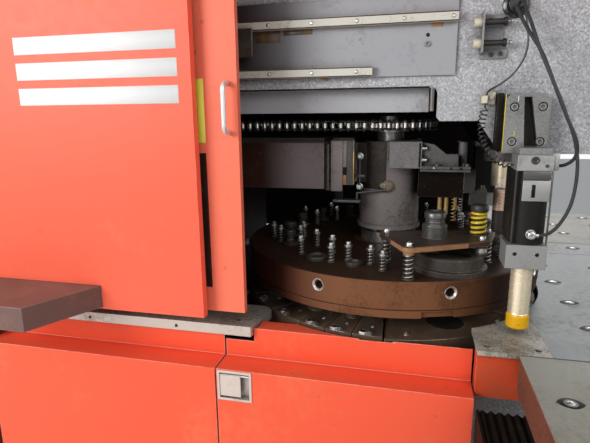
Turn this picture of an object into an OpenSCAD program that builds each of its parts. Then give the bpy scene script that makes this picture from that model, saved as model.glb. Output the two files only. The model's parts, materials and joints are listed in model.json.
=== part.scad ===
// CNC turret punch press: C-frame, twin turrets driven by roller chain, sliding guard door,
// hinged lower covers, hold-down cylinders, ball-transfer tables and a two-axis carriage.
// Millimetres, +Z up, origin on the floor at the centre of the machine's box.
// The throat of the C-frame opens towards +X and the operator's door faces -Y.

/* [Frame] */
// Outside width over the two side plates
frame_w = 700; // [680:5:710]
// Thickness of the frame's side plates
plate_t = 40; // [30:1:50]
// Rear face of the column, along X
frame_rear = -1440; // [-1450:1:-1420]
// Nose of the upper and lower arm, along X
frame_nose = 500; // [480:1:508]
// Top of the frame above the floor
frame_top = 1900; // [1880:5:1930]
// Back of the throat, along X
throat_back = -760; // [-780:1:-745]
// Top of the lower arm above the floor
lower_arm_top = 770; // [750:1:775]
// Underside of the upper arm at the nose
upper_arm_z = 1371; // [1355:1:1385]

/* [Turret] */
// Axis of both turrets, along X
turret_x = -200; // [-210:1:-190]
// Radius of the upper turret's rim
turret_r = 490; // [470:1:492]
// Radius of the lower turret and its die holders
lower_r = 488; // [470:1:491]
// Top face of the upper turret above the floor
turret_top = 1047; // [1040:1:1055]
// Thickness of the upper turret's main band
turret_t = 78; // [60:1:85]
// Height of the thin skirt under the main band
skirt_h = 25; // [15:1:30]
// Top of the die holders above the floor
die_top = 888; // [880:1:892]
// Pitch radius of the punching station
punch_r = 365; // [355:1:372]
// Radius of the bearing housing under the upper arm
hub_r = 102; // [95:1:110]

/* [Chain drive] */
// Teeth on each of the four sprockets
teeth = 36; // [32:2:38]
// Chain pitch
pitch = 25.4; // [25.4:0.1:25.8]
// Distance between the sprocket axes, in chain pitches
span_links = 34; // [32:2:34]
// Mid-height of the upper chain above the floor
chain_z = 1439; // [1432:1:1442]

/* [Covers] */
// Distance of the outer guard panels from the machine's mid plane
panel_y = 578; // [570:1:590]
// Sheet thickness of the covers
sheet_t = 3; // [2:0.5:4]
// Distance of the sliding door's face from the mid plane
door_y = 540; // [535:1:545]
// Width of the sliding door
door_w = 780; // [740:5:790]
// Right edge of the door when it is open, along X
door_right = -554; // [-560:1:-545]
// Bottom edge of the sliding door above the floor
door_bottom = 945; // [935:1:955]
// Height of the sliding door
door_h = 915; // [880:5:915]
// Height of the roof cover
roof_h = 150; // [100:5:160]

/* [Table] */
// Table surface above the floor
table_top = 910; // [902:1:912]
// Height of the transfer balls above the table
ball_h = 4; // [3:0.5:4]
// Right end of the centre table, along X
table_end = 1500; // [1480:1:1500]
// Outer edge of the side tables, from the mid plane
side_out = 1250; // [1150:10:1260]
// Spacing of the ball transfers
ball_pitch = 190; // [150:5:200]

/* [Carriage] */
// Left face of the carriage beam at its rest, along X
beam_x = 1320; // [1315:1:1325]
// Width of the carriage beam along X
beam_w = 120; // [100:1:125]
// Length of the carriage beam along Y
beam_len = 2400; // [2300:10:2480]
// Distance between the two sheet clamps
clamp_gap = 800; // [600:10:1000]

/* [Hold-down] */
// Distance of the hold-down cylinders from the mid plane
hold_y = 430; // [428:1:440]
// Radius of the hold-down rods
rod_r = 26; // [22:1:27]
// Underside of the hold-down pads above the floor
pad_z = 927; // [925:1:932]

/* [Hidden] */
$fn = 48;

// Running clearance between a shaft and its bore, on the radius
run_c = 0.05;
// Free gap between parts that pass each other
gap = 0.4;
frame_y = frame_w / 2;
inner_y = frame_y - plate_t;
frame_base = 130;
punch_x = turret_x + punch_r;
turret_bottom = turret_top - turret_t - skirt_h;
groove_h = 4;
web_t = 40;
notch_z = upper_arm_z + 170;
ram_plate_z = upper_arm_z + 124;
notch_x = turret_x + 133;
step_x = turret_x + 239;
nose_x = turret_x + 300;
beam_in_z = notch_z - 62;
sprocket_r = pitch / (2 * sin(180 / teeth));
drive_x = turret_x - span_links * pitch;
lower_chain_z = lower_arm_top - 80;
roller_r = 7.94;
shaft_r = 45;
drive_r = 30;
screw_r = 20;
screw_z = 645;
hub_top = 1386;
hub_bottom = turret_top + 45;
arm_z0 = 1234;
arm_h = 166;
arm_end = turret_x - 205;
saddle_x = turret_x - 178;
ring_gap = 6;
gland_x = turret_x + 308;
gland_z = 1733;
cover_in_y = panel_y - 84;
ledge_z = 790;
cover_z0 = 150;
cover_split = -636;
cover_gap = 5;
hinge_in = 12;
cover_right = 48;
left_edge = -1400;
panel_left = left_edge - 12;
panel_right = -658;
panel_z0 = 937;
rear_wall = -1500;
deck_z0 = 860;
deck_t = 30;
deck_y = 510;
track_x1 = turret_x + 174;
track_t = 8;
track_z0 = 1572;
rail_h = 24;
rail_d = 20;
upper_rail_z = 1700;
lower_rail_z = track_z0 + 1;
rail_y = frame_y + track_t + rail_d;
upper_rail_end = turret_x + 179;
lower_rail_end = turret_x - 36;
hanger_t = 8;
insert_x0 = turret_x + 250;
table_x0 = turret_x + 418;
table_half = 560;
table_t = 12;
table_drop = 50;
side_in = table_half + 6;
side_x0 = turret_x + 344;
side_drop = 91;
way_y = 640;
way_w = 120;
way_x0 = 60;
way_top = 720;
saddle_z = way_top + 26;
saddle_t = 54;
beam_z0 = table_top + 35;
beam_h = 170;
jaw_z = table_top + ball_h + 0.5;
jaw_t = 5;
jaw_reach = 70;
carriage_x = beam_x - 35;
clamp_len = 105;
pin_r = 8;
ram_z = 1239;
latch_x = turret_x - 388;
latch_z = 740;
station_az = -61;
station_r = 385;
station_out = 103;
hold_out = 70.803;
hold_x = turret_x + sqrt(pow(turret_r + hold_out, 2) - pow(hold_y, 2));
barrel_z0 = 1158;
barrel_top = 1340;
block_z0 = 1098;
head_top = upper_arm_z + 6;
bracket_h = 144;
bore_r = rod_r + 4;

// Stations on the upper turret: pitch radius, azimuth, holder radius
near_stations = [[349, -171, 24], [361, -151, 20], [378, -121, 28], [372, -102, 20]];
far_stations = [for (a = [-20:20:160]) [punch_r, a, a % 40 == 0 ? 24 : 21]];
stations = concat(near_stations, far_stations);
// Lifter springs on the upper turret: pitch radius, azimuth
near_lifters = [[406, -166], [386, -157], [320, -154], [380, -132], [377, -113], [340, -107],
    [351, -95], [401, -89], [300, -165], [290, -140], [300, -122]];
far_lifters = [for (a = [-30:20:150]) each [[400, a], [318, a + 4]]];
lifters = concat(near_lifters, far_lifters);
// Azimuths of the index-pin bushes in the turret's rim
rim_holes = [for (i = [0:7]) -109.7 + i * 42.4];
// Heights of the upper and lower index pins
pin_zs = [turret_top - 33, lower_arm_top + 46];

// Routes of the hoses and cables from the gland to their fittings
hose_upper = [[116, -372, 1738], [116, -384, 1738], [117, -402, 1730], [121, -421, 1708], [131, -440, 1672],
    [146, -460, 1622], [163, -476, 1577], [180, -486, 1536], [198, -490, 1496], [212, -491, 1458],
    [223, -488, 1432], [231, -483, 1408], [234, -475, 1386], [233, -464, 1368], [227, -452, 1356],
    [220, -443, 1351], [214, -440, 1350], [208, -440, 1350]];
hose_lower = [[102, -372, 1726], [102, -382, 1726], [103, -396, 1720], [108, -409, 1703], [120, -422, 1676],
    [138, -435, 1643], [156, -448, 1610], [171, -457, 1574], [200, -465, 1503], [232, -467, 1432],
    [247, -467, 1379], [251, -468, 1340], [250, -470, 1302], [245, -473, 1268], [236, -476, 1241],
    [224, -479, 1218], [210, -481, 1201], [198, -482, 1191], [188, -482, 1187], [178, -482, 1186]];
cable_route = [[119, -372, 1723], [119, -380, 1723], [121, -389, 1715], [126, -394, 1697], [131, -396, 1670],
    [134, -396, 1640], [131, -393, 1612], [122, -388, 1589], [108, -383, 1568], [92, -378, 1553],
    [75, -373, 1541], [61, -370, 1533], [54, -369, 1526], [52, -369, 1521], [52, -369, 1516]];
curly_route = [[52, -369, 1501], [52, -369, 1492], [49, -372, 1476], [44, -378, 1456], [43, -384, 1436],
    [46, -391, 1415], [54, -398, 1394], [66, -406, 1376], [80, -414, 1362], [94, -422, 1354],
    [104, -428, 1350], [111, -430, 1350], [120, -430, 1350]];

// Box between two corners
module block(a, b) {
    translate(a) cube(b - a);
}

// Same piece on both sides of the mid plane
module both_sides() {
    children();
    mirror([0, 1, 0]) children();
}

// Round bar along X, from x0 to x1
module bar_x(x0, x1, y, z, r) {
    translate([x0, y, z]) rotate([0, 90, 0]) cylinder(h = x1 - x0, r = r);
}

// Round bar along Y, from y0 to y1
module bar_y(x, y0, y1, z, r) {
    translate([x, y1, z]) rotate([90, 0, 0]) cylinder(h = y1 - y0, r = r);
}

// Round bar along Z, from z0 to z1
module bar_z(x, y, z0, z1, r) {
    translate([x, y, z0]) cylinder(h = z1 - z0, r = r);
}

// Plate cut from an outline drawn in X and Z, standing from y0 to y1
module plate_xz(points, y0, y1) {
    translate([0, y1, 0]) rotate([90, 0, 0]) linear_extrude(y1 - y0) polygon(points);
}

// Bar cut from an outline drawn in Y and Z, running from x0 to x1
module bar_yz(points, x0, x1) {
    translate([x0, 0, 0]) rotate([90, 0, 90]) linear_extrude(x1 - x0) polygon(points);
}

// Places children at a pitch radius and azimuth on the turrets
module at_station(r, azimuth) {
    translate([turret_x, 0, 0]) rotate([0, 0, azimuth]) translate([r, 0, 0]) children();
}

// Socket-head screw that stands out of a face at z = 0
module cap_screw(r, h) {
    difference() {
        cylinder(h = h, r = r, $fn = 24);
        translate([0, 0, h / 2]) cylinder(h = h, r = r * 0.5, $fn = 6);
    }
}

// Upper face of the circular clearance round the turrets
module turret_clearance(z0, z1) {
    translate([turret_x, 0, z0]) cylinder(h = z1 - z0, r = turret_r + ring_gap, $fn = 96);
}

// Outline of the frame's side plate: a C with the stepped notch that shows the chain
function frame_outline() = [
    [frame_rear, frame_base], [frame_nose, frame_base], [frame_nose, lower_arm_top],
    [throat_back, lower_arm_top], [throat_back, notch_z], [notch_x - 14, notch_z],
    [notch_x - 4, notch_z - 4], [notch_x, notch_z - 14], [notch_x, upper_arm_z + 94],
    [notch_x + 10, upper_arm_z + 84], [step_x, upper_arm_z + 84], [nose_x - 9, upper_arm_z + 9],
    [nose_x, upper_arm_z], [frame_nose, upper_arm_z], [frame_nose, frame_top],
    [frame_rear, frame_top]];

// Bore or bar along the direction of the index pins, between two radii from the turret axis
module along_index(r0, r1, z, r) {
    translate([turret_x, 0, z]) rotate([0, 0, rim_holes[7]]) rotate([0, 90, 0])
        translate([0, 0, r0]) cylinder(h = r1 - r0, r = r);
}

module main_frame() {
    plate_top = upper_arm_z + web_t;
    window = sprocket_r + 30;
    web_x = turret_x + 165;
    color("dimgray") difference() {
        union() {
            both_sides() plate_xz(frame_outline(), -frame_y, -inner_y);
            block([frame_rear, -inner_y, frame_base], [frame_nose, inner_y, frame_base + web_t]);
            block([frame_rear, -inner_y, frame_top - web_t], [frame_nose, inner_y, frame_top]);
            block([frame_rear, -inner_y, frame_base], [frame_rear + web_t, inner_y, frame_top]);
            block([throat_back - web_t, -inner_y, frame_base], [throat_back, inner_y, notch_z]);
            block([throat_back - web_t, -inner_y, lower_arm_top - web_t],
                [frame_nose, inner_y, lower_arm_top]);
            block([frame_nose - web_t, -inner_y, frame_base], [frame_nose, inner_y, lower_arm_top]);
            block([frame_nose - web_t, -inner_y, upper_arm_z], [frame_nose, inner_y, frame_top]);
            block([nose_x, -inner_y, upper_arm_z], [frame_nose, inner_y, plate_top]);
            block([throat_back - web_t, -inner_y, beam_in_z], [turret_x + 113, inner_y, notch_z]);
            block([throat_back - web_t, -inner_y, notch_z], [web_x + web_t, inner_y, notch_z + web_t]);
            block([web_x, -inner_y, ram_plate_z - web_t], [web_x + web_t, inner_y, notch_z + web_t]);
            block([web_x, -inner_y, ram_plate_z - web_t], [frame_nose, inner_y, ram_plate_z]);
            for (z = pin_zs) along_index(538, 580, z, 30);
        }
        // Windows for the chains
        block([throat_back - web_t - 1, -window, chain_z - 29], [throat_back + 1, window, chain_z + 29]);
        block([throat_back - web_t - 1, -window, lower_chain_z - 29],
            [throat_back + 1, window, lower_chain_z + 29]);
        // Seat of the lower turret's bearing housing, ram bore and coupling hole
        bar_z(turret_x, 0, lower_arm_top - web_t - 1, lower_arm_top + 1, 100);
        bar_z(punch_x, 0, upper_arm_z - 1, ram_plate_z + 1, 62 + run_c);
        block([nose_x - 1, -62, upper_arm_z - 1], [punch_x, 62, plate_top + 1]);
        bar_x(frame_nose - web_t - 1, frame_nose + 1, 0, screw_z, 32);
        // Guide bores of the index pins and the hole for the cable gland
        for (z = pin_zs) along_index(537, 620, z, 12 + run_c);
        bar_y(gland_x, -frame_y - 1, -inner_y + 1, gland_z, 16);
    }
}

// Post with two pins for a lower cover, at the hinge axis x
module hinge_post(x) {
    y = -panel_y + hinge_in;
    for (z = [cover_z0 + 100, ledge_z - 160]) {
        bar_z(x, y, z - 38, z + 46, 4);
        for (dz = [-38, 38]) block([x - 5, y - 6, z + dz], [x + 5, y + 18, z + dz + 8]);
    }
    block([x - 10, y + 18, frame_base + 20], [x + 10, y + 38, ledge_z - 30]);
    for (z = [frame_base + 30, ledge_z - 80]) block([x - 10, y + 38, z], [x + 10, -frame_y, z + 40]);
}

module base_frame() {
    color("dimgray") {
        difference() {
            union() {
                for (y = [-frame_y + 60, frame_y - 60])
                    block([frame_rear, y - 60, 40], [frame_nose, y + 60, frame_base]);
                for (x = [frame_rear, -500, frame_nose - 120])
                    block([x, -frame_y + 60, 40], [x + 120, frame_y - 60, frame_base]);
            }
            for (x = [frame_rear + 60, -440, frame_nose - 60], y = [-frame_y + 60, frame_y - 60])
                bar_z(x, y, 39, 110, 12 + gap);
        }
        hinge_post(cover_right - hinge_in);
        hinge_post(left_edge + hinge_in);
    }
}

// Levelling foot: disc, locknut and stud up into the leg
module foot(x, y) {
    translate([x, y, 0]) {
        cylinder(h = 14, r = 55);
        translate([0, 0, 14]) cylinder(h = 6, r1 = 30, r2 = 20);
        translate([0, 0, 20]) cylinder(h = 20, r = 22, $fn = 6);
        translate([0, 0, 40]) cylinder(h = 50, r = 12);
    }
}

module levelling_feet() {
    color("silver") {
        for (x = [frame_rear + 60, -440, frame_nose - 60], y = [-frame_y + 60, frame_y - 60]) foot(x, y);
        for (x = [way_x0 + 60, table_end - 60], y = [-way_y, way_y]) foot(x, y);
    }
}

module track_plate() {
    color("gray") block([frame_rear, -frame_y - track_t, track_z0], [track_x1, -frame_y, 1770]);
}

module door_rails() {
    color("wheat") {
        for (r = [[upper_rail_end - 5, upper_rail_z], [lower_rail_end, lower_rail_z]])
            block([frame_rear, -rail_y, r[1]], [r[0], -rail_y + rail_d, r[1] + rail_h]);
    }
}

module bumper_bracket() {
    x0 = turret_x + 229;
    color("silver") difference() {
        union() {
            block([x0, -frame_y - 4, 1623], [x0 + 54, -frame_y, 1712]);
            block([x0, -frame_y - 52, 1619], [x0 + 4, -frame_y, 1718]);
        }
        for (z = [1643, 1692]) bar_x(x0 - 1, x0 + 5, -frame_y - 32, z, 6 + run_c);
    }
}

module door_bumpers() {
    x0 = turret_x + 229;
    color("ivory") for (z = [1643, 1692]) {
        bar_x(x0 - 18, x0, -frame_y - 32, z, 11);
        bar_x(x0, x0 + 4, -frame_y - 32, z, 6);
        bar_x(x0 + 4, x0 + 50, -frame_y - 32, z, 7);
        bar_x(x0 + 50, x0 + 58, -frame_y - 32, z, 10);
    }
}

module front_side_panel() {
    top = frame_top;
    color("tomato") {
        block([panel_left, -panel_y, panel_z0], [panel_right, -panel_y + sheet_t, top]);
        block([panel_left, -panel_y + sheet_t, panel_z0], [panel_right, -panel_y + 25, panel_z0 + sheet_t]);
        block([panel_right - sheet_t, -panel_y + sheet_t, panel_z0], [panel_right, -panel_y + 25, top]);
        block([panel_left, -panel_y + sheet_t, panel_z0], [panel_left + sheet_t, -panel_y + 25, top]);
        block([panel_left, -panel_y + sheet_t, top - sheet_t], [panel_right, -frame_y, top]);
    }
}

module rear_housing() {
    end_x = cover_right;
    upper_end = turret_x + 365;
    t = sheet_t;
    color("tomato") {
        // Rear side above and below the slot that the side table runs through
        block([rear_wall, panel_y - t, panel_z0], [upper_end, panel_y, frame_top]);
        block([rear_wall, frame_y, frame_top - t], [upper_end, panel_y, frame_top]);
        block([upper_end - t, frame_y, panel_z0 + 600], [upper_end, panel_y, frame_top]);
        mirror([0, 1, 0]) stepped_cover(rear_wall, end_x, deck_z0);
        for (x = [frame_rear + 60, -900, -300], z = [300, 700])
            block([x, frame_y, z], [x + 40, panel_y - t, z + 40]);
        for (x = [frame_rear + 60, -800])
            block([x, frame_y, 1400], [x + 40, panel_y - t, 1440]);
        // End of the housing and its return beside the front covers
        block([rear_wall, -panel_y, cover_z0], [rear_wall + t, panel_y, frame_top]);
        block([rear_wall, -panel_y, cover_z0], [panel_left - cover_gap, -panel_y + t, frame_top]);
        block([rear_wall, -panel_y, frame_top - t], [frame_rear, panel_y, frame_top]);
    }
}

module roof_cover() {
    edge = 60;
    outer = [[-panel_y, 0], [-panel_y, roof_h - edge], [-panel_y + edge, roof_h],
        [panel_y - edge, roof_h], [panel_y, roof_h - edge], [panel_y, 0]];
    inner = [for (p = outer) [p[0] * (1 - sheet_t / panel_y), p[1] - (p[1] > 0 ? sheet_t : 1)]];
    color("tomato") translate([0, 0, frame_top]) {
        difference() {
            bar_yz(outer, rear_wall, frame_nose);
            bar_yz(inner, rear_wall + sheet_t, frame_nose - sheet_t);
        }
        for (x = [frame_rear + 40, turret_x, frame_nose - 80])
            block([x, -panel_y + sheet_t, 0], [x + sheet_t, panel_y - sheet_t, roof_h - edge - sheet_t]);
    }
}

module tool_shelf() {
    x1 = turret_x - 769;
    depth = 193;
    wall = 4;
    outline = [[panel_left + 12, 0], [x1, 0], [x1 - 96, -depth], [panel_left + 12, -depth]];
    color("dimgray") translate([0, -panel_y, panel_z0 + 6]) difference() {
        linear_extrude(65) polygon(outline);
        translate([0, 0, -1]) linear_extrude(65 - wall + 1)
            polygon([[panel_left + 12 + wall, -wall], [x1 - wall * 1.5, -wall],
                [x1 - 96 - wall / 2, -depth + wall], [panel_left + 12 + wall, -depth + wall]]);
    }
}

module deck_plate() {
    color("silver") difference() {
        translate([0, 0, deck_z0]) linear_extrude(deck_t)
            polygon([[left_edge - 10, -deck_y], [turret_x - 350, -deck_y], [turret_x - 325, -frame_y],
                [left_edge - 10, -frame_y]]);
        turret_clearance(deck_z0 - 1, deck_z0 + deck_t + 1);
        for (x = [-1300, -1070, -780]) bar_y(x, -deck_y - 1, -deck_y + 12, deck_z0 + 13, 5);
    }
}

module sliding_door() {
    x0 = door_right - door_w;
    top = door_bottom + door_h;
    edge = 20;
    window = [[x0 + 70, door_bottom + 68], [door_right - 91, door_bottom + 436]];
    color("tomato") difference() {
        union() {
            block([x0, -door_y, door_bottom], [door_right, -door_y + sheet_t, top]);
            for (x = [x0, door_right - sheet_t])
                block([x, -door_y, door_bottom], [x + sheet_t, -door_y + edge, top]);
            for (z = [door_bottom, top - sheet_t])
                block([x0, -door_y, z], [door_right, -door_y + edge, z + sheet_t]);
        }
        block([window[0][0], -door_y - 1, window[0][1]], [window[1][0], -door_y + sheet_t + 1, window[1][1]]);
        for (z = [1428 + 5, 1559 - 5]) bar_y(door_right - 25, -door_y - 1, -door_y + sheet_t + 1, z, 4);
    }
}

module door_window() {
    x0 = door_right - door_w + 55;
    color([0.25, 0.2, 0.18, 0.6])
        block([x0, -door_y + sheet_t, door_bottom + 53],
            [door_right - 76, -door_y + sheet_t + 4, door_bottom + 451]);
}

// Bow handle: two legs and a grip with round elbows
module door_handle() {
    x = door_right - 25;
    r = 6;
    bend = 18;
    reach = 34;
    z0 = 1433;
    z1 = 1554;
    color("silver") {
        for (z = [z0, z1]) {
            bar_y(x, -door_y - reach + bend, -door_y, z, r);
            bar_y(x, -door_y, -door_y + sheet_t + 4, z, 4 - run_c);
        }
        bar_z(x, -door_y - reach, z0 + bend, z1 - bend, r);
        for (s = [[z0, 0], [z1, 1]]) translate([x, -door_y - reach + bend, s[0] + (s[1] == 0 ? bend : -bend)])
            mirror([0, 0, s[1]]) rotate([0, 90, 0]) rotate([0, 0, 180]) rotate([0, 0, 90])
                rotate_extrude(angle = 90) translate([bend, 0]) circle(r = r, $fn = 24);
    }
}

module door_hangers() {
    color("gray") for (x1 = [turret_x - 424, turret_x - 1040]) {
        x0 = x1 - 80;
        plate_y = -rail_y - hanger_t - 6;
        block([x0, plate_y, lower_rail_z - 10], [x1, plate_y + hanger_t, upper_rail_z + rail_h + 12]);
        for (z = [lower_rail_z, upper_rail_z]) {
            low = z == lower_rail_z && x1 > lower_rail_end - 588 ? x0 - 200 : x0;
            block([low, plate_y + hanger_t, z - 8], [low + 80, -rail_y - gap, z + rail_h + 8]);
            block([low, -rail_y - gap, z - 8], [low + 80, -rail_y + 12, z - gap]);
            block([low, -rail_y - gap, z + rail_h + gap], [low + 80, -rail_y + 12, z + rail_h + 8]);
            if (low < x0)
                block([low, plate_y, z - 10], [x0, plate_y + hanger_t, z + rail_h + 12]);
        }
        for (z = [lower_rail_z + 40, upper_rail_z - 60])
            block([x0 + 20, -door_y + sheet_t, z], [x1 - 20, plate_y, z + hanger_t]);
        block([x0 + 20, -door_y + sheet_t, lower_rail_z + 30],
            [x1 - 20, -door_y + sheet_t + hanger_t, upper_rail_z - 40]);
    }
    // Striker that meets the bumpers when the door is shut
    color("gray") block([turret_x - 424, -frame_y - 44, 1630], [turret_x - 360, -frame_y - 36, 1705]);
}

// Folded cover between two X values: main face, ledge and upper face, with a flange at one end
module stepped_cover(x0, x1, top, flange_x = undef) {
    t = sheet_t;
    y0 = -panel_y;
    y1 = -cover_in_y;
    bar_yz([[y0, cover_z0], [y0, ledge_z], [y1, ledge_z], [y1, top], [y1 + t, top], [y1 + t, ledge_z - t],
        [y0 + t, ledge_z - t], [y0 + t, cover_z0]], x0, x1);
    if (flange_x != undef) block([flange_x, y0, cover_z0], [flange_x + t, y0 + 22, ledge_z]);
    block([x0, y0, cover_z0], [x1, y0 + 22, cover_z0 + t]);
}

// Hinge barrels of a lower cover, on the hinge axis x
module cover_barrels(x) {
    y = -panel_y + hinge_in;
    for (z = [cover_z0 + 100, ledge_z - 160]) difference() {
        union() {
            bar_z(x, y, z - 29, z + 37, 7);
            block([x - 7, -panel_y, z - 29], [x + 7, y, z + 37]);
        }
        bar_z(x, y, z - 31, z + 39, 4 + run_c);
    }
}

module left_cover() {
    color("tomato") {
        stepped_cover(left_edge, cover_split, deck_z0 - 1, cover_split - sheet_t);
        cover_barrels(left_edge + hinge_in);
    }
}

module right_cover() {
    x0 = cover_split + cover_gap;
    top = deck_z0 + 20;
    notch = turret_x - 345;
    color("tomato") {
        difference() {
            union() {
                stepped_cover(x0, cover_right, top, x0);
                block([notch + 10, -cover_in_y, top - sheet_t], [turret_x - 60, -440, top]);
            }
            block([x0 - 1, -cover_in_y - 1, deck_z0 - 20], [notch, -cover_in_y + sheet_t + 1, top + 1]);
            turret_clearance(top - sheet_t - 1, top + 1);
            block([latch_x - 35, -panel_y - 1, latch_z - 38],
                [latch_x + 55, -panel_y + sheet_t + 1, latch_z + 42]);
        }
        cover_barrels(cover_right - hinge_in);
    }
}

module latch_dish() {
    t = 2;
    depth = 18;
    color("silver") difference() {
        union() {
            block([latch_x - 40, -panel_y - t, latch_z - 43], [latch_x + 60, -panel_y, latch_z + 47]);
            block([latch_x - 35, -panel_y, latch_z - 38], [latch_x + 55, -panel_y + depth, latch_z + 42]);
        }
        block([latch_x - 33, -panel_y - t - 1, latch_z - 36],
            [latch_x + 53, -panel_y + depth - t, latch_z + 40]);
        bar_x(latch_x - 36, latch_x + 56, -panel_y + 4, latch_z + 32, 3 + run_c);
    }
}

module latch_paddle() {
    color("silver") {
        block([latch_x - 32, -panel_y - 1, latch_z - 30], [latch_x + 28, -panel_y + 1.5, latch_z + 32]);
        bar_x(latch_x - 34, latch_x + 54, -panel_y + 4, latch_z + 32, 3);
        block([latch_x - 32, -panel_y, latch_z + 29], [latch_x + 28, -panel_y + 4, latch_z + 33]);
    }
}

module recess_panel() {
    x0 = cover_right + 4;
    x1 = turret_x + 363;
    y = -540;
    z1 = table_top - table_t;
    color("tomato") {
        block([x0, y, 776], [x1, y + sheet_t, z1]);
        block([x1 - sheet_t, y, 776], [x1, y + 40, z1]);
        block([x0, y, 776], [x0 + sheet_t, y + 40, z1]);
        block([x0, y, 776], [x1, -frame_y, 776 + sheet_t]);
    }
}

// Pleated cover over one way, drawn as a zigzag wall round the rail
module way_covers() {
    span = beam_x - 20 - way_x0;
    count = 2 * round(span / 40);
    step = span / count;
    wall = function(d) [[-way_y - 72 + d, 640], [-way_y - 72 + d, way_top + 43 - d],
        [-way_y + 72 - d, way_top + 43 - d], [-way_y + 72 - d, 640]];
    color("black") both_sides() difference() {
        union() for (i = [0:count - 1])
            bar_yz(wall(i % 2 == 0 ? 0 : 5), way_x0 + i * step, way_x0 + (i + 1) * step);
        block([way_x0 - 1, -way_y - 63, 639], [beam_x, -way_y + 63, way_top + 34]);
    }
}

module table_insert() {
    color("darkkhaki") both_sides() difference() {
        block([insert_x0, -table_half, table_top - table_t], [table_x0, -table_half + 320, table_top]);
        turret_clearance(table_top - table_t - 1, table_top + 1);
        for (x = [insert_x0 + 25, table_x0 - 25]) bar_z(x, -table_half + 30, table_top - 6, table_top + 1, 8);
    }
}

module centre_table() {
    under = table_top - table_drop;
    color("lightsteelblue") difference() {
        union() {
            block([table_x0, -table_half, table_top - table_t], [table_end, table_half, table_top]);
            for (y = [-table_half, table_half - 20, -285, 95])
                block([table_x0, y, under], [table_end, y + 20, table_top - table_t]);
            for (x = [frame_nose - 60, 830, table_end - 20])
                block([x, -table_half, under], [x + 20, table_half, table_top - table_t]);
            for (y = [-300, 280])
                block([frame_nose - 60, y, lower_arm_top], [frame_nose - 20, y + 20, under]);
        }
        turret_clearance(under - 1, table_top + 1);
        block([table_x0 + 10, 381, table_top - 3], [table_end + 1, 384, table_top + 1]);
        for (x = ball_xs, y = ball_ys) bar_z(x, y, table_top - table_t - 1, table_top + 1, 20);
    }
}

ball_xs = [for (x = [turret_x + 556:ball_pitch:table_end - 60]) x];
ball_ys = [for (i = [-2:2]) i * ball_pitch + (i == 2 ? 100 : 10)];

// Ball transfer: cup with a lip, and the ball that stands proud of it
module ball_unit(x, y) {
    translate([x, y, table_top]) {
        rotate_extrude() polygon([[0, -16], [14, -16], [19, -12], [19, 0], [26, 0], [25, 1], [12, 2], [0, 2]]);
        translate([0, 0, ball_h - 11]) sphere(r = 11);
    }
}

module ball_transfers() {
    color("silver") for (x = ball_xs, y = ball_ys) ball_unit(x, y);
}

module table_stand() {
    leg = 100;
    color("steelblue") {
        both_sides() difference() {
            union() {
                block([way_x0, -way_y - way_w / 2, way_top - 120], [table_end, -way_y + way_w / 2, way_top]);
                for (x = [way_x0, 700, table_end - leg])
                    block([x, -way_y - way_w / 2, 40], [x + leg, -way_y + way_w / 2, way_top - 120]);
                block([way_x0, -way_y - way_w / 2, 40], [table_end, -way_y + way_w / 2, 120]);
                block([way_x0 + 5, -way_y - 20, way_top], [table_end - 10, -way_y + 20, way_top + 25]);
                block([way_x0 - 6, -way_y - 72, 640], [way_x0, -way_y + 62, way_top + 43]);
            }
            for (x = [way_x0 + 60, table_end - 60]) bar_z(x, -way_y, 39, 110, 12 + gap);
        }
        // End plate that carries the table and the screw's outer bearing
        difference() {
            block([table_end - 36, -way_y + way_w / 2, 300],
                [table_end, way_y - way_w / 2, table_top - table_drop]);
            for (s = [-1, 1]) block([table_end - 37, s * 320 - 150, 380], [table_end + 1, s * 320 + 150, 780]);
            bar_x(table_end - 37, table_end + 1, 0, screw_z, 15 + run_c);
        }
        block([700, -way_y + way_w / 2, 40], [800, way_y - way_w / 2, 120]);
    }
}

module y_ball_screw() {
    color("silver") {
        bar_x(frame_nose + 10, table_end - 40, 0, screw_z, screw_r);
        bar_x(table_end - 40, table_end - 6, 0, screw_z, 15);
        bar_x(frame_nose - 60, frame_nose + 10, 0, screw_z, 15);
    }
}

module drive_motors() {
    color("dimgray") {
        // Servo motor of the screw, behind the frame's nose plate
        difference() {
            union() {
                block([frame_nose - web_t - 20, -80, screw_z - 80], [frame_nose - web_t, 80, screw_z + 80]);
                block([frame_nose - 240, -70, screw_z - 70], [frame_nose - web_t - 20, 70, screw_z + 70]);
            }
            bar_x(frame_nose - 64, frame_nose - web_t + 1, 0, screw_z, 15 + run_c);
        }
        // Gearmotor of the turret drive, on the column's floor
        difference() {
            union() {
                block([drive_x - 110, -110, frame_base + web_t], [drive_x + 110, 110, frame_base + web_t + 40]);
                block([drive_x - 90, -90, frame_base + web_t + 40], [drive_x + 90, 90, 560]);
                bar_z(drive_x, 0, 560, 590, 70);
                bar_y(drive_x, 90, 270, 420, 75);
            }
            bar_z(drive_x, 0, 520, 591, drive_r + run_c);
        }
        // Small cylinders of the index pins, behind the column's front web
        for (z = pin_zs) difference() {
            block([throat_back - web_t - 90, -112, z - 32], [throat_back - web_t, -48, z + 32]);
            along_index(590, 680, z, 12 + run_c);
        }
    }
}

module side_tables() {
    wall = 4;
    xs = [for (x = [side_x0 + 59:ball_pitch:beam_x - 60]) x];
    ys = [for (i = [0:2]) -side_in - 189 - i * ball_pitch];
    color("lightslategray") both_sides() {
        difference() {
            block([side_x0, -side_out, table_top - side_drop], [beam_x, -side_in, table_top]);
            block([side_x0 + wall, -side_out + wall, table_top - side_drop - 1],
                [beam_x - wall, -side_in - wall, table_top - table_t]);
        }
        for (x = xs, y = ys) if (y > -side_out + 40) ball_unit(x, y);
    }
}

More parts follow.
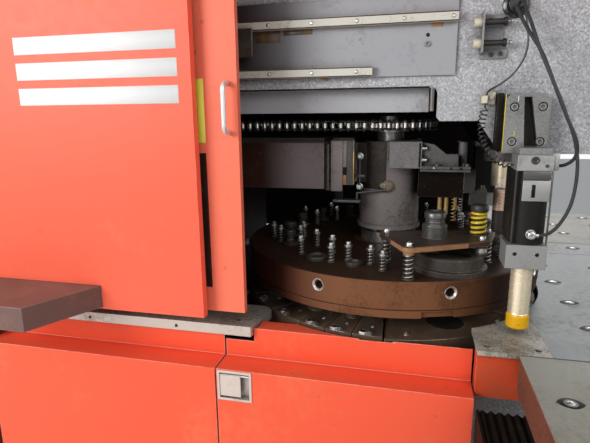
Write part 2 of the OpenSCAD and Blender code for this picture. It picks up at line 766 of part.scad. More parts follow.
module carriage_beam() {
    x1 = beam_x + beam_w;
    color("steelblue") {
        both_sides() {
            difference() {
                block([beam_x - 20, -way_y - 60, saddle_z], [x1, -way_y + 95, saddle_z + saddle_t]);
                block([beam_x - 21, -way_y - 20 - gap, saddle_z - 1],
                    [x1 + 1, -way_y + 20 + gap, saddle_z + gap]);
            }
            for (s = [-1, 1])
                block([beam_x - 20, -way_y + s * 36 - 14, way_top + gap], [x1, -way_y + s * 36 + 14, saddle_z]);
            block([beam_x, -way_y - 45, saddle_z + saddle_t], [x1 - 10, -way_y + 65, beam_z0]);
            block([x1 - 70, -way_y + 70, screw_z - 45], [x1, -way_y + 95, saddle_z]);
            // Bracket arm under the end of the side table
            block([beam_x - 20, -side_out + 60, table_top - side_drop - 30],
                [beam_x + 30, -way_y - 40, table_top - side_drop]);
        }
        difference() {
            block([x1 - 70, -way_y + 95, screw_z - 45], [x1, way_y - 95, screw_z + 45]);
            bar_x(x1 - 71, x1 + 1, 0, screw_z, screw_r + run_c);
        }
        // Box beam over the table, with its two guide rails
        difference() {
            block([beam_x, -beam_len / 2, beam_z0], [x1, beam_len / 2, beam_z0 + beam_h]);
            for (s = [-1, 1]) block([beam_x + 12, s * (beam_len / 4 + 4) - beam_len / 4 + 8, beam_z0 + 12],
                [x1 - 12, s * (beam_len / 4 + 4) + beam_len / 4 - 24, beam_z0 + beam_h - 12]);
        }
        for (z = [beam_z0 + 25, beam_z0 + beam_h - 45])
            block([beam_x - 15, -beam_len / 2 + 20, z], [beam_x, beam_len / 2 - 20, z + 20]);
    }
}

// Clamp body on the carriage: lower jaw, two cheeks and the pivot pin of the upper jaw
module clamp_body(y) {
    x1 = carriage_x - 35;
    x0 = x1 - clamp_len;
    translate([0, y, 0]) {
        block([x0 + jaw_reach, -45, jaw_z], [x1, 45, jaw_z + 14]);
        block([x0, -35, jaw_z], [x0 + jaw_reach, 35, jaw_z + jaw_t]);
        for (s = [-1, 1]) block([x0 + jaw_reach, s * 34 - 11, jaw_z + 14], [x1, s * 34 + 11, jaw_z + 70]);
        block([x1 - 4, -45, jaw_z], [x1, 45, jaw_z + 70]);
        bar_y(x0 + jaw_reach + 12, -46, 46, jaw_z + 44, pin_r);
    }
}

module x_carriage() {
    half = clamp_gap / 2 + 250;
    color("slategray") {
        block([carriage_x, -half, beam_z0 + 5], [carriage_x + 18, half, beam_z0 + beam_h - 5]);
        for (z = [beam_z0 + 25, beam_z0 + beam_h - 45], y = [-half + 60, half - 60]) {
            block([carriage_x + 18, y - 50, z + 20 + gap], [beam_x - gap, y + 50, z + 30]);
            block([carriage_x + 18, y - 50, z - 10], [beam_x - gap, y + 50, z - gap]);
        }
        block([carriage_x - 35, -half, beam_z0], [carriage_x, half, beam_z0 + 60]);
        for (y = [-clamp_gap / 2, clamp_gap / 2]) clamp_body(y);
    }
}

// Upper jaw of a sheet clamp, closed on the pass line
module clamp_jaw(y) {
    x1 = carriage_x - 35;
    x0 = x1 - clamp_len;
    pivot = [x0 + jaw_reach + 12, jaw_z + 44];
    color("gray") translate([0, y, 0]) difference() {
        union() {
            plate_xz([[x0, jaw_z + jaw_t + 1.5], [x0, jaw_z + jaw_t + 10], [pivot[0] - 22, pivot[1] + 6],
                [pivot[0] - 14, pivot[1] + 16], [pivot[0] + 14, pivot[1] + 14], [pivot[0] + 10, pivot[1] - 16],
                [pivot[0] - 16, jaw_z + jaw_t + 14], [x0 + 30, jaw_z + jaw_t + 1.5]], -22, 22);
        }
        bar_y(pivot[0], -23, 23, pivot[1], pin_r + run_c);
    }
}

module clamp_jaw_front() { clamp_jaw(-clamp_gap / 2); }
module clamp_jaw_rear() { clamp_jaw(clamp_gap / 2); }

module upper_turret() {
    skirt_r = turret_r - 2;
    band = turret_top - turret_t;
    color("saddlebrown") difference() {
        translate([turret_x, 0, 0]) rotate_extrude($fn = 96) polygon([
            [shaft_r + run_c, turret_bottom + 6], [180, turret_bottom + 6], [200, turret_bottom],
            [skirt_r, turret_bottom], [skirt_r, band - groove_h], [skirt_r - 4, band - groove_h],
            [skirt_r - 4, band], [turret_r, band], [turret_r, turret_top - 3], [turret_r - 3, turret_top],
            [120, turret_top], [110, turret_top - 4], [shaft_r + run_c, turret_top - 4]]);
        for (a = rim_holes) translate([turret_x, 0, turret_top - 33]) rotate([0, 0, a])
            rotate([0, 90, 0]) {
                translate([0, 0, turret_r - 40]) cylinder(h = 50, r = 12);
                translate([0, 0, turret_r - 5]) cylinder(h = 6, r1 = 12, r2 = 17);
            }
        for (s = stations) at_station(s[0], s[1])
            translate([0, 0, turret_bottom - 1]) cylinder(h = turret_t + skirt_h + 2, r = s[2] + run_c);
        at_station(station_r, station_az)
            translate([0, 0, turret_bottom - 1]) cylinder(h = turret_t + skirt_h + 2, r = 60);
        // Notch in the skirt beside the large station
        at_station(turret_r, -71) translate([-12, -45, turret_bottom - 1]) cube([14, 90, skirt_h - 6]);
    }
}

// Sprocket with round-bottomed gaps that widen outwards, teeth on the pitch circle
module sprocket(bore) {
    tip = sprocket_r + 6;
    seat = roller_r + 0.35;
    difference() {
        union() {
            translate([0, 0, -7]) cylinder(h = 14, r = tip, $fn = 96);
            translate([0, 0, -24]) cylinder(h = 17, r = bore + 22);
        }
        for (i = [0:teeth - 1]) rotate([0, 0, i * 360 / teeth - 90]) translate([sprocket_r, 0, -8]) {
            cylinder(h = 16, r = seat, $fn = 24);
            linear_extrude(16) polygon([[0, -seat], [12, -seat - 3], [12, seat + 3], [0, seat]]);
        }
        translate([0, 0, -25]) cylinder(h = 34, r = bore + run_c);
        for (a = [0:60:300]) rotate([0, 0, a + 30]) translate([(sprocket_r + bore) / 2 + 4, 0, -8])
            cylinder(h = 16, r = 17);
    }
}

module turret_shaft() {
    journal = shaft_r - 7;
    color("silver") {
        translate([turret_x, 0, 0]) {
            bar_z(0, 0, turret_bottom + 6, chain_z - 24, shaft_r);
            bar_z(0, 0, chain_z - 24, chain_z + 28, journal);
            bar_z(0, 0, turret_top - 4, turret_top + 32, 95);
            for (a = [0:60:300]) rotate([0, 0, a]) translate([78, 0, turret_top + 32]) cap_screw(9, 8);
            translate([0, 0, chain_z + 28]) cylinder(h = 5, r1 = journal - 3, r2 = journal - 8);
            translate([0, 0, chain_z]) sprocket(journal - run_c);
        }
    }
}

// Punch holder in its station: body in the bore, flange, spring pack and striking head
module punch_holder(r, extra) {
    z0 = turret_bottom + 2;
    top = turret_top - z0;
    tall = top + 50 + extra;
    translate([0, 0, z0]) rotate_extrude($fn = 32) polygon([
        [0, 0], [r - 4, 0], [r, 4], [r, top], [r + 7, top], [r + 7, top + 7],
        [r * 0.72, top + 9], [r * 0.72, top + 18], [r * 0.6, top + 20], [r * 0.72, top + 24],
        [r * 0.72, top + 32], [r * 0.9, top + 34], [r * 0.9, tall - 4], [r * 0.8, tall],
        [r * 0.3, tall], [0, tall - 2]]);
}

// Low holder that ends in a hollow ring just over the turret
module low_holder(r) {
    z0 = turret_bottom + 2;
    top = turret_top - z0;
    translate([0, 0, z0]) rotate_extrude($fn = 32) polygon([
        [0, 0], [r - 4, 0], [r, 4], [r, top], [r + 4, top], [r + 4, top + 9], [r + 1, top + 12],
        [r - 5, top + 12], [r - 8, top + 5], [0, top + 5]]);
}

module punch_holders() {
    color("dimgray") for (s = stations) at_station(s[0], s[1])
        if (s[2] == 28 || s[1] == -102) low_holder(s[2]);
        else punch_holder(s[2], s[1] == 0 ? ram_z - 10 - turret_top - 50 : 0);
}

// Lifter spring: bolt head and washer over a stack of ribs that stands for the coil
module lifter() {
    coils = 5;
    rise = 8;
    ribs = [for (i = [0:coils - 1]) each [[7.5, 4 + i * rise], [10, 4 + (i + 0.5) * rise]]];
    top = 4 + coils * rise;
    translate([0, 0, turret_top]) rotate_extrude($fn = 20) polygon(concat(
        [[0, 0], [12, 0], [12, 3]], ribs,
        [[7.5, top], [12.5, top], [12.5, top + 5], [7, top + 5], [7, top + 13], [6, top + 15], [0, top + 15]]));
}

module lifter_springs() {
    color("gray") for (s = lifters) at_station(s[0], s[1]) lifter();
}

module station_ring() {
    plug = 59.5;
    drop = turret_bottom + 2 - turret_top;
    color("dimgray") at_station(station_r, station_az) translate([0, 0, turret_top])
        rotate_extrude($fn = 64) polygon([[0, drop], [plug - 3, drop], [plug, drop + 3], [plug, 0],
            [station_out, 0], [station_out, 14], [station_out - 9, 17], [station_out - 9, 46],
            [station_out - 13, 50], [76, 50], [72, 46], [62, 40], [62, 30], [0, 30]]);
}

// Spring posts that carry the station plate: position and height of the foot
posts = [[turret_x + 77, -460, turret_top], [turret_x + 270, -356, turret_top + 50],
    [turret_x + 11, -318, turret_top], [turret_x + 296, -262, turret_top]];
plate_z = 1124;
head_x = turret_x + 144;

module station_plate() {
    t = 14;
    color("rosybrown") {
        difference() {
            translate([0, 0, plate_z]) linear_extrude(t) union() {
                polygon([for (i = [0, 1, 3, 2]) [posts[i][0], posts[i][1]]]);
                for (i = [0:3]) let (a = posts[i], b = posts[[1, 3, 0, 2][i]],
                    d = unit([b[0] - a[0], b[1] - a[1]]), n = [d[1], -d[0]] * 20) {
                    polygon([[a[0], a[1]] - n, [b[0], b[1]] - n, [b[0], b[1]] + n, [a[0], a[1]] + n]);
                    translate([a[0], a[1]]) circle(r = 20);
                }
            }
            bar_z(head_x, -345, plate_z - 1, plate_z + t + 1, 26);
        }
        for (p = posts) {
            rise = plate_z - p[2];
            coils = floor((rise - 10) / 9);
            ribs = [for (i = [0:coils - 1]) each [[10, 5 + i * 9], [14, 9.5 + i * 9]]];
            translate(p) rotate_extrude($fn = 20) polygon(concat(
                [[0, 0], [17, 0], [17, 4]], ribs, [[10, rise - 3], [10, rise], [0, rise]]));
            bar_z(p[0], p[1], plate_z + t, plate_z + t + 10, 9);
        }
        // Tall striking head in the middle of the plate
        translate([head_x, -345, 0]) rotate_extrude($fn = 40) polygon([
            [0, turret_top + 50], [26, turret_top + 50], [26, plate_z + t], [33.5, plate_z + t],
            [33.5, plate_z + 50], [31, plate_z + 53], [25, plate_z + 53], [25, plate_z + 68],
            [29, plate_z + 70], [29, plate_z + 83], [25, plate_z + 87], [0, plate_z + 87]]);
    }
}

module stripper_spring() {
    base = plate_z + 14;
    color("gold") translate([turret_x + 265, -300, base]) rotate_extrude($fn = 32) polygon(concat(
        [[0, 0], [23, 0]], [for (i = [0:5]) each [[19, 6 + i * 10.5], [23, 11 + i * 10.5]]],
        [[19, 68], [24, 70], [24, 84], [18, 88], [0, 88]]));
}

module lower_turret() {
    top = die_top - 50;
    color("dimgray") difference() {
        union() {
            translate([turret_x, 0, 0]) rotate_extrude($fn = 96) polygon([
                [0, lower_arm_top + 24], [lower_r - 12, lower_arm_top + 24], [lower_r - 12, top],
                [250, top], [230, top + 10], [0, top + 10]]);
            bar_z(turret_x, 0, lower_chain_z - 24, lower_arm_top + 24, shaft_r);
            translate([turret_x, 0, lower_chain_z]) sprocket(shaft_r - run_c);
        }
        for (s = stations) at_station(s[0], s[1])
            translate([0, 0, lower_arm_top]) cylinder(h = 120, r = s[2] * 0.7);
        at_station(station_r, station_az) translate([0, 0, lower_arm_top]) cylinder(h = 120, r = 50);
        for (a = rim_holes) translate([turret_x, 0, pin_zs[1]]) rotate([0, 0, a]) rotate([0, 90, 0])
            translate([0, 0, lower_r - 50]) cylinder(h = 60, r = 12);
    }
}

// Sector block of the lower turret between two azimuths, with its bolt scallop
module die_block(a0, a1) {
    slot = 0.12;
    edge = [for (i = [0:4]) let (a = a0 + slot + (a1 - a0 - 2 * slot) * i / 4) [cos(a), sin(a)]];
    difference() {
        translate([turret_x, 0, die_top - 50]) linear_extrude(50)
            polygon(concat([for (p = edge) p * lower_r], [for (i = [4:-1:0]) edge[i] * 262]));
        at_station(lower_r + 6, (a0 + a1) / 2) translate([0, 0, die_top - 40]) cylinder(h = 50, r = 22);
    }
    at_station(lower_r - 4, (a0 + a1) / 2) translate([0, 0, die_top - 40])
        rotate([0, 90, 0]) translate([-20, 0, -14]) cap_screw(9, 12);
}

module die_holders() {
    first = -168;
    step = 16.2;
    count = 5;
    color("dimgray") difference() {
        union() {
            for (i = [0:count - 1]) die_block(first + i * step, first + (i + 1) * step);
            for (i = [0:12]) die_block(-35 + i * 17.46, -35 + (i + 1) * 17.46);
            // Cover plate over the large station
            at_station(0, 0) translate([0, 0, die_top - 50]) linear_extrude(44) polygon(concat(
                [for (a = [-86.8:5.16:-35.2]) [cos(a), sin(a)] * (lower_r - 1)],
                [for (a = [-35.2:-5.16:-86.8]) [cos(a), sin(a)] * 262]));
        }
        for (s = stations) at_station(s[0], s[1]) translate([0, 0, die_top - 51]) cylinder(h = 60, r = s[2]);
        at_station(station_r, station_az) translate([0, 0, die_top - 51]) cylinder(h = 60, r = 55);
    }
    // Dies in the holders, just below the pass line
    color("silver") for (s = stations) at_station(s[0], s[1]) translate([0, 0, die_top - 50])
        difference() {
            cylinder(h = 66, r = s[2] - 0.1);
            translate([0, 0, -1]) cylinder(h = 80, r = s[2] * 0.45);
        }
}

module hub_housing() {
    color("dimgray") {
        difference() {
            union() {
                bar_z(turret_x, 0, hub_bottom, hub_top, hub_r);
                bar_z(turret_x, 0, hub_bottom, hub_bottom + 14, hub_r + 6);
                block([saddle_x, -70, arm_z0 + 15], [turret_x - 6, 110, arm_z0 + arm_h - 19]);
                // Adjusting plate with its slot, seen from the door
                difference() {
                    block([saddle_x + 2, -168, arm_z0 + 18], [turret_x - 105, -150, arm_z0 + 161]);
                    block([turret_x - 146, -169, arm_z0 + 50], [turret_x - 132, -149, arm_z0 + 120]);
                }
                block([saddle_x + 2, -150, arm_z0 + 30], [turret_x - 110, -70, arm_z0 + 60]);
                block([saddle_x + 2, -150, arm_z0 + 110], [turret_x - 110, -70, arm_z0 + 145]);
            }
            bar_z(turret_x, 0, hub_bottom - 1, hub_top + 1, shaft_r + run_c);
        }
        // Housing of the lower turret's bearing, in the lower arm
        difference() {
            union() {
                bar_z(turret_x, 0, lower_chain_z + 8, lower_arm_top + 1, 99.7);
                bar_z(turret_x, 0, lower_arm_top, lower_arm_top + 22, 150);
            }
            bar_z(turret_x, 0, lower_chain_z + 7, lower_arm_top + 23, shaft_r + run_c);
        }
    }
}

module support_arm() {
    wall = 20;
    color("dimgray") {
        difference() {
            block([throat_back, -150, arm_z0], [arm_end, 150, arm_z0 + arm_h]);
            block([throat_back - 1, -150 + wall, arm_z0 + wall],
                [arm_end - wall, 150 - wall, arm_z0 + arm_h - wall]);
        }
        block([arm_end, -130, arm_z0 + 10], [saddle_x, 130, arm_z0 + arm_h - 14]);
    }
}

module index_drive() {
    low = 1211;
    strip = 1299;
    color("gray") difference() {
        union() {
            // Upper block, flange strip with its rib, and the two lower blocks
            block([turret_x + 5, -165, 1308], [turret_x + 103, 120, 1390]);
            block([turret_x + 100, -168, strip], [turret_x + 248, 100, strip + 16]);
            plate_xz([[turret_x + 102, strip + 15], [turret_x + 102, 1388], [turret_x + 141, 1380],
                [turret_x + 177, 1351], [turret_x + 211, 1351], [turret_x + 214, strip + 15]], -150, -120);
            block([turret_x + 96, -110, low], [turret_x + 236, 130, strip]);
            block([turret_x + 236, -112, low + 16], [turret_x + 270, 100, strip]);
            block([turret_x + 256, -108, low - 23], [turret_x + 308, -50, low + 25]);
            bar_z(turret_x + 229, -98, strip + 15, 1386, 13);
        }
        bar_z(turret_x, 0, 1092, 1391, hub_r);
    }
    // Two brass locating pins and two bolts on the flange
    color("goldenrod") for (x = [turret_x + 167, turret_x + 187]) bar_z(x, -96, low - 58, low, 7);
    color("silver") for (x = [turret_x + 150, turret_x + 238])
        translate([x, -160, strip + 16]) cap_screw(6, 8);
}

module ram_cylinder() {
    z0 = ram_plate_z;
    color("gray") difference() {
        union() {
            bar_z(punch_x, 0, z0, 1790, 95);
            bar_z(punch_x, 0, z0, z0 + 25, 130);
            bar_z(punch_x, 0, 1322, z0, 62);
            block([punch_x - 60, -60, 1790], [punch_x + 60, 60, 1850]);
        }
        bar_z(punch_x, 0, z0 + 35, 1765, 60 + run_c);
        bar_z(punch_x, 0, 1321, z0 + 36, 34 + run_c);
    }
}

module ram() {
    color("peru") {
        bar_z(punch_x, 0, ram_z, 1660, 34);
        bar_z(punch_x, 0, 1660, 1700, 60);
    }
}

module cylinder_barrels() {
    color("black") both_sides() difference() {
        union() {
            bar_z(hold_x, -hold_y, barrel_z0, barrel_top, 42);
            block([hold_x - 42, -hold_y, barrel_z0], [hold_x + 42, -hold_y + 78, barrel_top]);
            block([hold_x - 40, -hold_y - 40, barrel_top], [hold_x + 40, -hold_y + 40, head_top]);
        }
        bar_z(hold_x, -hold_y, barrel_z0 - 1, barrel_top - 10, bore_r + run_c);
    }
}

module cylinder_blocks() {
    color("gray") both_sides() difference() {
        block([hold_x - 50, -hold_y - 45, block_z0], [hold_x + 43, -hold_y + 42, barrel_z0]);
        bar_z(hold_x, -hold_y, block_z0 - 1, barrel_z0 + 1, rod_r + run_c);
        for (x = [hold_x - 29, hold_x + 22]) bar_y(x, -hold_y - 46, -hold_y - 32, block_z0 + 37, 5);
    }
}

module cylinder_brackets() {
    x0 = hold_x - 66;
    x1 = hold_x + 36;
    z0 = upper_arm_z + 6;
    z1 = z0 + bracket_h;
    color("slategray") both_sides() difference() {
        union() {
            plate_xz([[x0, z0], [x0, z1 - 12], [x0 + 12, z1], [x1 - 12, z1], [x1, z1 - 12], [x1, z0]],
                -frame_y - 55, -frame_y);
            block([hold_x - 36, -hold_y - 36, z0], [x1, -frame_y, z0 + 16]);
        }
        plate_xz([[hold_x - 17, z0 + 16], [hold_x - 25, z1 - 8], [hold_x - 7, z1 - 8], [hold_x + 15, z0 + 16]],
            -frame_y - 56, -frame_y - 18);
        for (x = [hold_x - 45, hold_x + 19], z = [z0 + 28, z0 + 112])
            bar_y(x, -frame_y - 56, -frame_y - 47, z, 11);
    }
}

// Hold-down rod with its piston and its round pad
module hold_down(side) {
    color("goldenrod") translate([hold_x, side * hold_y, 0]) {
        translate([0, 0, pad_z + 43]) cylinder(h = barrel_z0 + 60 - pad_z - 43, r = rod_r);
        translate([0, 0, barrel_z0 + 60]) cylinder(h = 24, r = bore_r);
        translate([0, 0, pad_z]) rotate_extrude()
            polygon([[0, 0], [24, 0], [28, 4], [28, 34], [24, 43], [0, 43]]);
    }
}

module front_hold_down() { hold_down(-1); }
module rear_hold_down() { hold_down(1); }

module index_pins() {
    color("silver") for (z = pin_zs) along_index(510, 660, z, 12);
}

// Roller position along the closed chain: straight runs and half turns
function chain_point(i) =
    let (half = teeth / 2, n = i % (2 * span_links + teeth))
    n < span_links ? [turret_x - n * pitch, -sprocket_r]
    : n < span_links + half ? [drive_x, 0] + sprocket_r * [cos(-90 - (n - span_links) * 360 / teeth),
        sin(-90 - (n - span_links) * 360 / teeth)]
    : n < 2 * span_links + half ? [drive_x + (n - span_links - half) * pitch, sprocket_r]
    : [turret_x, 0] + sprocket_r * [cos(90 - (n - 2 * span_links - half) * 360 / teeth),
        sin(90 - (n - 2 * span_links - half) * 360 / teeth)];

// Link plate between two pins, with round ends and its two holes
module link_plate(z, hole) {
    r = 11.5;
    translate([0, 0, z]) linear_extrude(3.2) difference() {
        union() {
            circle(r = r, $fn = 24);
            translate([pitch, 0]) circle(r = r, $fn = 24);
            translate([0, -r * 0.8]) square([pitch, r * 1.6]);
        }
        if (hole > 0) for (x = [0, pitch]) translate([x, 0]) circle(r = hole, $fn = 16);
    }
}

module chain_link(i, z) {
    a = chain_point(i);
    b = chain_point(i + 1);
    translate([a[0], a[1], z]) rotate([0, 0, atan2(b[1] - a[1], b[0] - a[0])])
        if (i % 2 == 0) {
            for (s = [8, -11.2]) link_plate(s, 0);
            for (x = [0, pitch]) translate([x, 0, -8]) cylinder(h = 16, r = roller_r, $fn = 20);
        } else {
            for (s = [11.5, -14.7]) link_plate(s, 0);
            for (x = [0, pitch]) translate([x, 0, -17.5]) cylinder(h = 35, r = 4, $fn = 16);
        }
}

module turret_chains() {
    count = 2 * span_links + teeth;
    color("silver") for (z = [chain_z, lower_chain_z], i = [0:count - 1]) chain_link(i, z);
}

module drive_shaft() {
    color("silver") translate([drive_x, 0, 0]) {
        translate([0, 0, 530]) cylinder(h = chain_z + 60 - 530, r = drive_r);
        for (z = [chain_z, lower_chain_z]) translate([0, 0, z]) sprocket(drive_r - run_c);
    }
}

module cable_fittings() {
    // Rubber gland in the frame plate
    color("black") {
        bar_y(gland_x, -frame_y - 22, -frame_y, gland_z, 22);
        bar_y(gland_x, -frame_y, -frame_y + 20, gland_z, 16 - run_c);
    }
    // Two-piece cable clip
    color("ivory") {
        block([turret_x + 240, -frame_y - 10, 1496], [turret_x + 264, -frame_y, 1530]);
        block([turret_x + 242, -frame_y - 28, 1501], [turret_x + 262, -frame_y - 10, 1516]);
    }
    // Hose tails on the front cylinder
    color("silver") {
        bar_x(hold_x + 40, hold_x + 48, -hold_y - 10, 1350, 8);
        bar_y(hold_x + 3, -hold_y - 62, -hold_y - 41.95, 1186, 9);
        bar_x(hold_x + 11.9, hold_x + 18, -hold_y - 52, 1186, 5);
    }
}

// Tube swept along a route, with flat ends
function unit(v) = v / norm(v);
function tangent(p, i) = unit(p[min(i + 1, len(p) - 1)] - p[max(i - 1, 0)]);
function side_axis(t) = unit(cross(t, abs(t[2]) > 0.9 ? [1, 0, 0] : [0, 0, 1]));

module tube(points, r, sides) {
    count = len(points);
    rings = [for (i = [0:count - 1], k = [0:sides - 1])
        let (t = tangent(points, i), u = side_axis(t), v = cross(t, u), a = k * 360 / sides)
        points[i] + r * (cos(a) * u + sin(a) * v)];
    walls = [for (i = [0:count - 2], k = [0:sides - 1])
        let (n = (k + 1) % sides) each [[i * sides + k, i * sides + n, (i + 1) * sides + n],
            [i * sides + k, (i + 1) * sides + n, (i + 1) * sides + k]]];
    ends = [[for (k = [sides - 1:-1:0]) k], [for (k = [0:sides - 1]) (count - 1) * sides + k]];
    polyhedron(rings, concat(walls, ends), convexity = 6);
}

module air_hose_upper() { color("black") tube(hose_upper, 4, 10); }
module air_hose_lower() { color("black") tube(hose_lower, 4, 10); }
module sensor_cable() { color("black") tube(cable_route, 2.5, 8); }
module curly_cord() { color("black") tube(curly_route, 8, 10); }

main_frame();
base_frame();
levelling_feet();
track_plate();
door_rails();
bumper_bracket();
door_bumpers();
front_side_panel();
rear_housing();
roof_cover();
tool_shelf();
deck_plate();
sliding_door();
door_window();
door_handle();
door_hangers();
left_cover();
right_cover();
latch_dish();
latch_paddle();
recess_panel();
way_covers();
table_insert();
centre_table();
table_stand();
y_ball_screw();
drive_motors();
ball_transfers();
side_tables();
carriage_beam();
x_carriage();
clamp_jaw_front();
clamp_jaw_rear();
upper_turret();
turret_shaft();
punch_holders();
lifter_springs();
station_ring();
station_plate();
stripper_spring();
lower_turret();
die_holders();
hub_housing();
support_arm();
index_drive();
ram_cylinder();
ram();
cylinder_barrels();
cylinder_blocks();
cylinder_brackets();
front_hold_down();
rear_hold_down();
index_pins();
turret_chains();
drive_shaft();
cable_fittings();
air_hose_upper();
air_hose_lower();
sensor_cable();
curly_cord();
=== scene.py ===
"""Looks of a CNC turret punch press: C-frame, twin turrets, guard door, covers and tables.

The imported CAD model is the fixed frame. This script dresses its nodes with finishes, replaces
what is soft or finely coiled, adds the small hardware, and sets the camera and the light.
Figures are in millimetres where a name says so or a helper takes them, and in metres elsewhere.
"""

from __future__ import annotations

import json
import logging
import math
from dataclasses import dataclass, replace
from enum import Enum
from typing import Iterable, Sequence, Union

import bmesh
import bpy
from mathutils import Matrix, Vector

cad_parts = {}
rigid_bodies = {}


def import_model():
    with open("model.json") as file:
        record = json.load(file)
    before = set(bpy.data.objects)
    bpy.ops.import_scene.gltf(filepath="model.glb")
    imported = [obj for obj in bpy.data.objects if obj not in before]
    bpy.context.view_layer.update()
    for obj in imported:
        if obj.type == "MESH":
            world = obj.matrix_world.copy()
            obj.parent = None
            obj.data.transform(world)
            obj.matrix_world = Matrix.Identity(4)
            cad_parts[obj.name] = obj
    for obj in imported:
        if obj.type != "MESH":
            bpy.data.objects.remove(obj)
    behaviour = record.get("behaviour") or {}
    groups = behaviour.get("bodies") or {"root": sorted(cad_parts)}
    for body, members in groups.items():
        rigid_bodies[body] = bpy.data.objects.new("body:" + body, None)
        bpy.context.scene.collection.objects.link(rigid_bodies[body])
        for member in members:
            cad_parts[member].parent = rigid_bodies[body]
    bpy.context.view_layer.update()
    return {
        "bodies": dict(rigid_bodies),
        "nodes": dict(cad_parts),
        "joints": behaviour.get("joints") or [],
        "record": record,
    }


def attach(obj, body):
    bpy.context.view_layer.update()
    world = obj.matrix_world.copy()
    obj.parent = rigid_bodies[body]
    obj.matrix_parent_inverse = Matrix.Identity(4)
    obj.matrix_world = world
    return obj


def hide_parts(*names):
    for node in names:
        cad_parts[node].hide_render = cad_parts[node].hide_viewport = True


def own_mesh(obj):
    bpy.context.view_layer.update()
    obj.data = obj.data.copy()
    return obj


log = logging.getLogger("punch_press")

Point = Sequence[float]
Colour = tuple[float, float, float]
MM = 0.001
TURRET_X = -200.0
INF = 9999.0
FRONT = (0, -1, 0)
UP = (0, 0, 1)
RIGHT = (1, 0, 0)


def metres(point: Point) -> Vector:
    """Returns a millimetre point as a vector in metres."""
    return Vector(point) * MM


def at_azimuth(radius: float, azimuth: float, z: float) -> tuple[float, float, float]:
    """Finds a point on the turrets.

    Args:
        radius: Pitch radius from the turret axis, in millimetres.
        azimuth: Direction from the axis, in degrees.
        z: Height above the floor, in millimetres.

    Returns:
        The point in millimetres.
    """
    a = math.radians(azimuth)
    return (TURRET_X + radius * math.cos(a), radius * math.sin(a), z)


# Shader expressions


class Sock:
    """An output socket of a shader graph that takes part in Python expressions."""

    def __init__(self, graph: "Graph", out: bpy.types.NodeSocket | None) -> None:
        """Wraps one output socket of a graph."""
        self.graph = graph
        self.out = out

    def __add__(self, other: "Value") -> "Sock":
        """Adds a socket or number."""
        return self.graph.math("ADD", self, other)

    __radd__ = __add__

    def __sub__(self, other: "Value") -> "Sock":
        """Takes a socket or number away."""
        return self.graph.math("SUBTRACT", self, other)

    def __rsub__(self, other: "Value") -> "Sock":
        """Is taken away from a number."""
        return self.graph.math("SUBTRACT", other, self)

    def __mul__(self, other: "Value") -> "Sock":
        """Multiplies by a socket or number."""
        return self.graph.math("MULTIPLY", self, other)

    __rmul__ = __mul__

    def __gt__(self, other: "Value") -> "Sock":
        """Is 1 where it is over the other, and 0 elsewhere."""
        return self.graph.math("GREATER_THAN", self, other)

    def __lt__(self, other: "Value") -> "Sock":
        """Is 1 where it is under the other, and 0 elsewhere."""
        return self.graph.math("LESS_THAN", self, other)

    def ramp(self, low: float, high: float) -> "Sock":
        """Rises smoothly from 0 to 1 between two values, or falls where low is over high."""
        return self.graph.node(
            "ShaderNodeMapRange",
            {"interpolation_type": "SMOOTHSTEP"},
            {"Value": self, "From Min": low, "From Max": high},
        )


Value = Union[float, Sock]


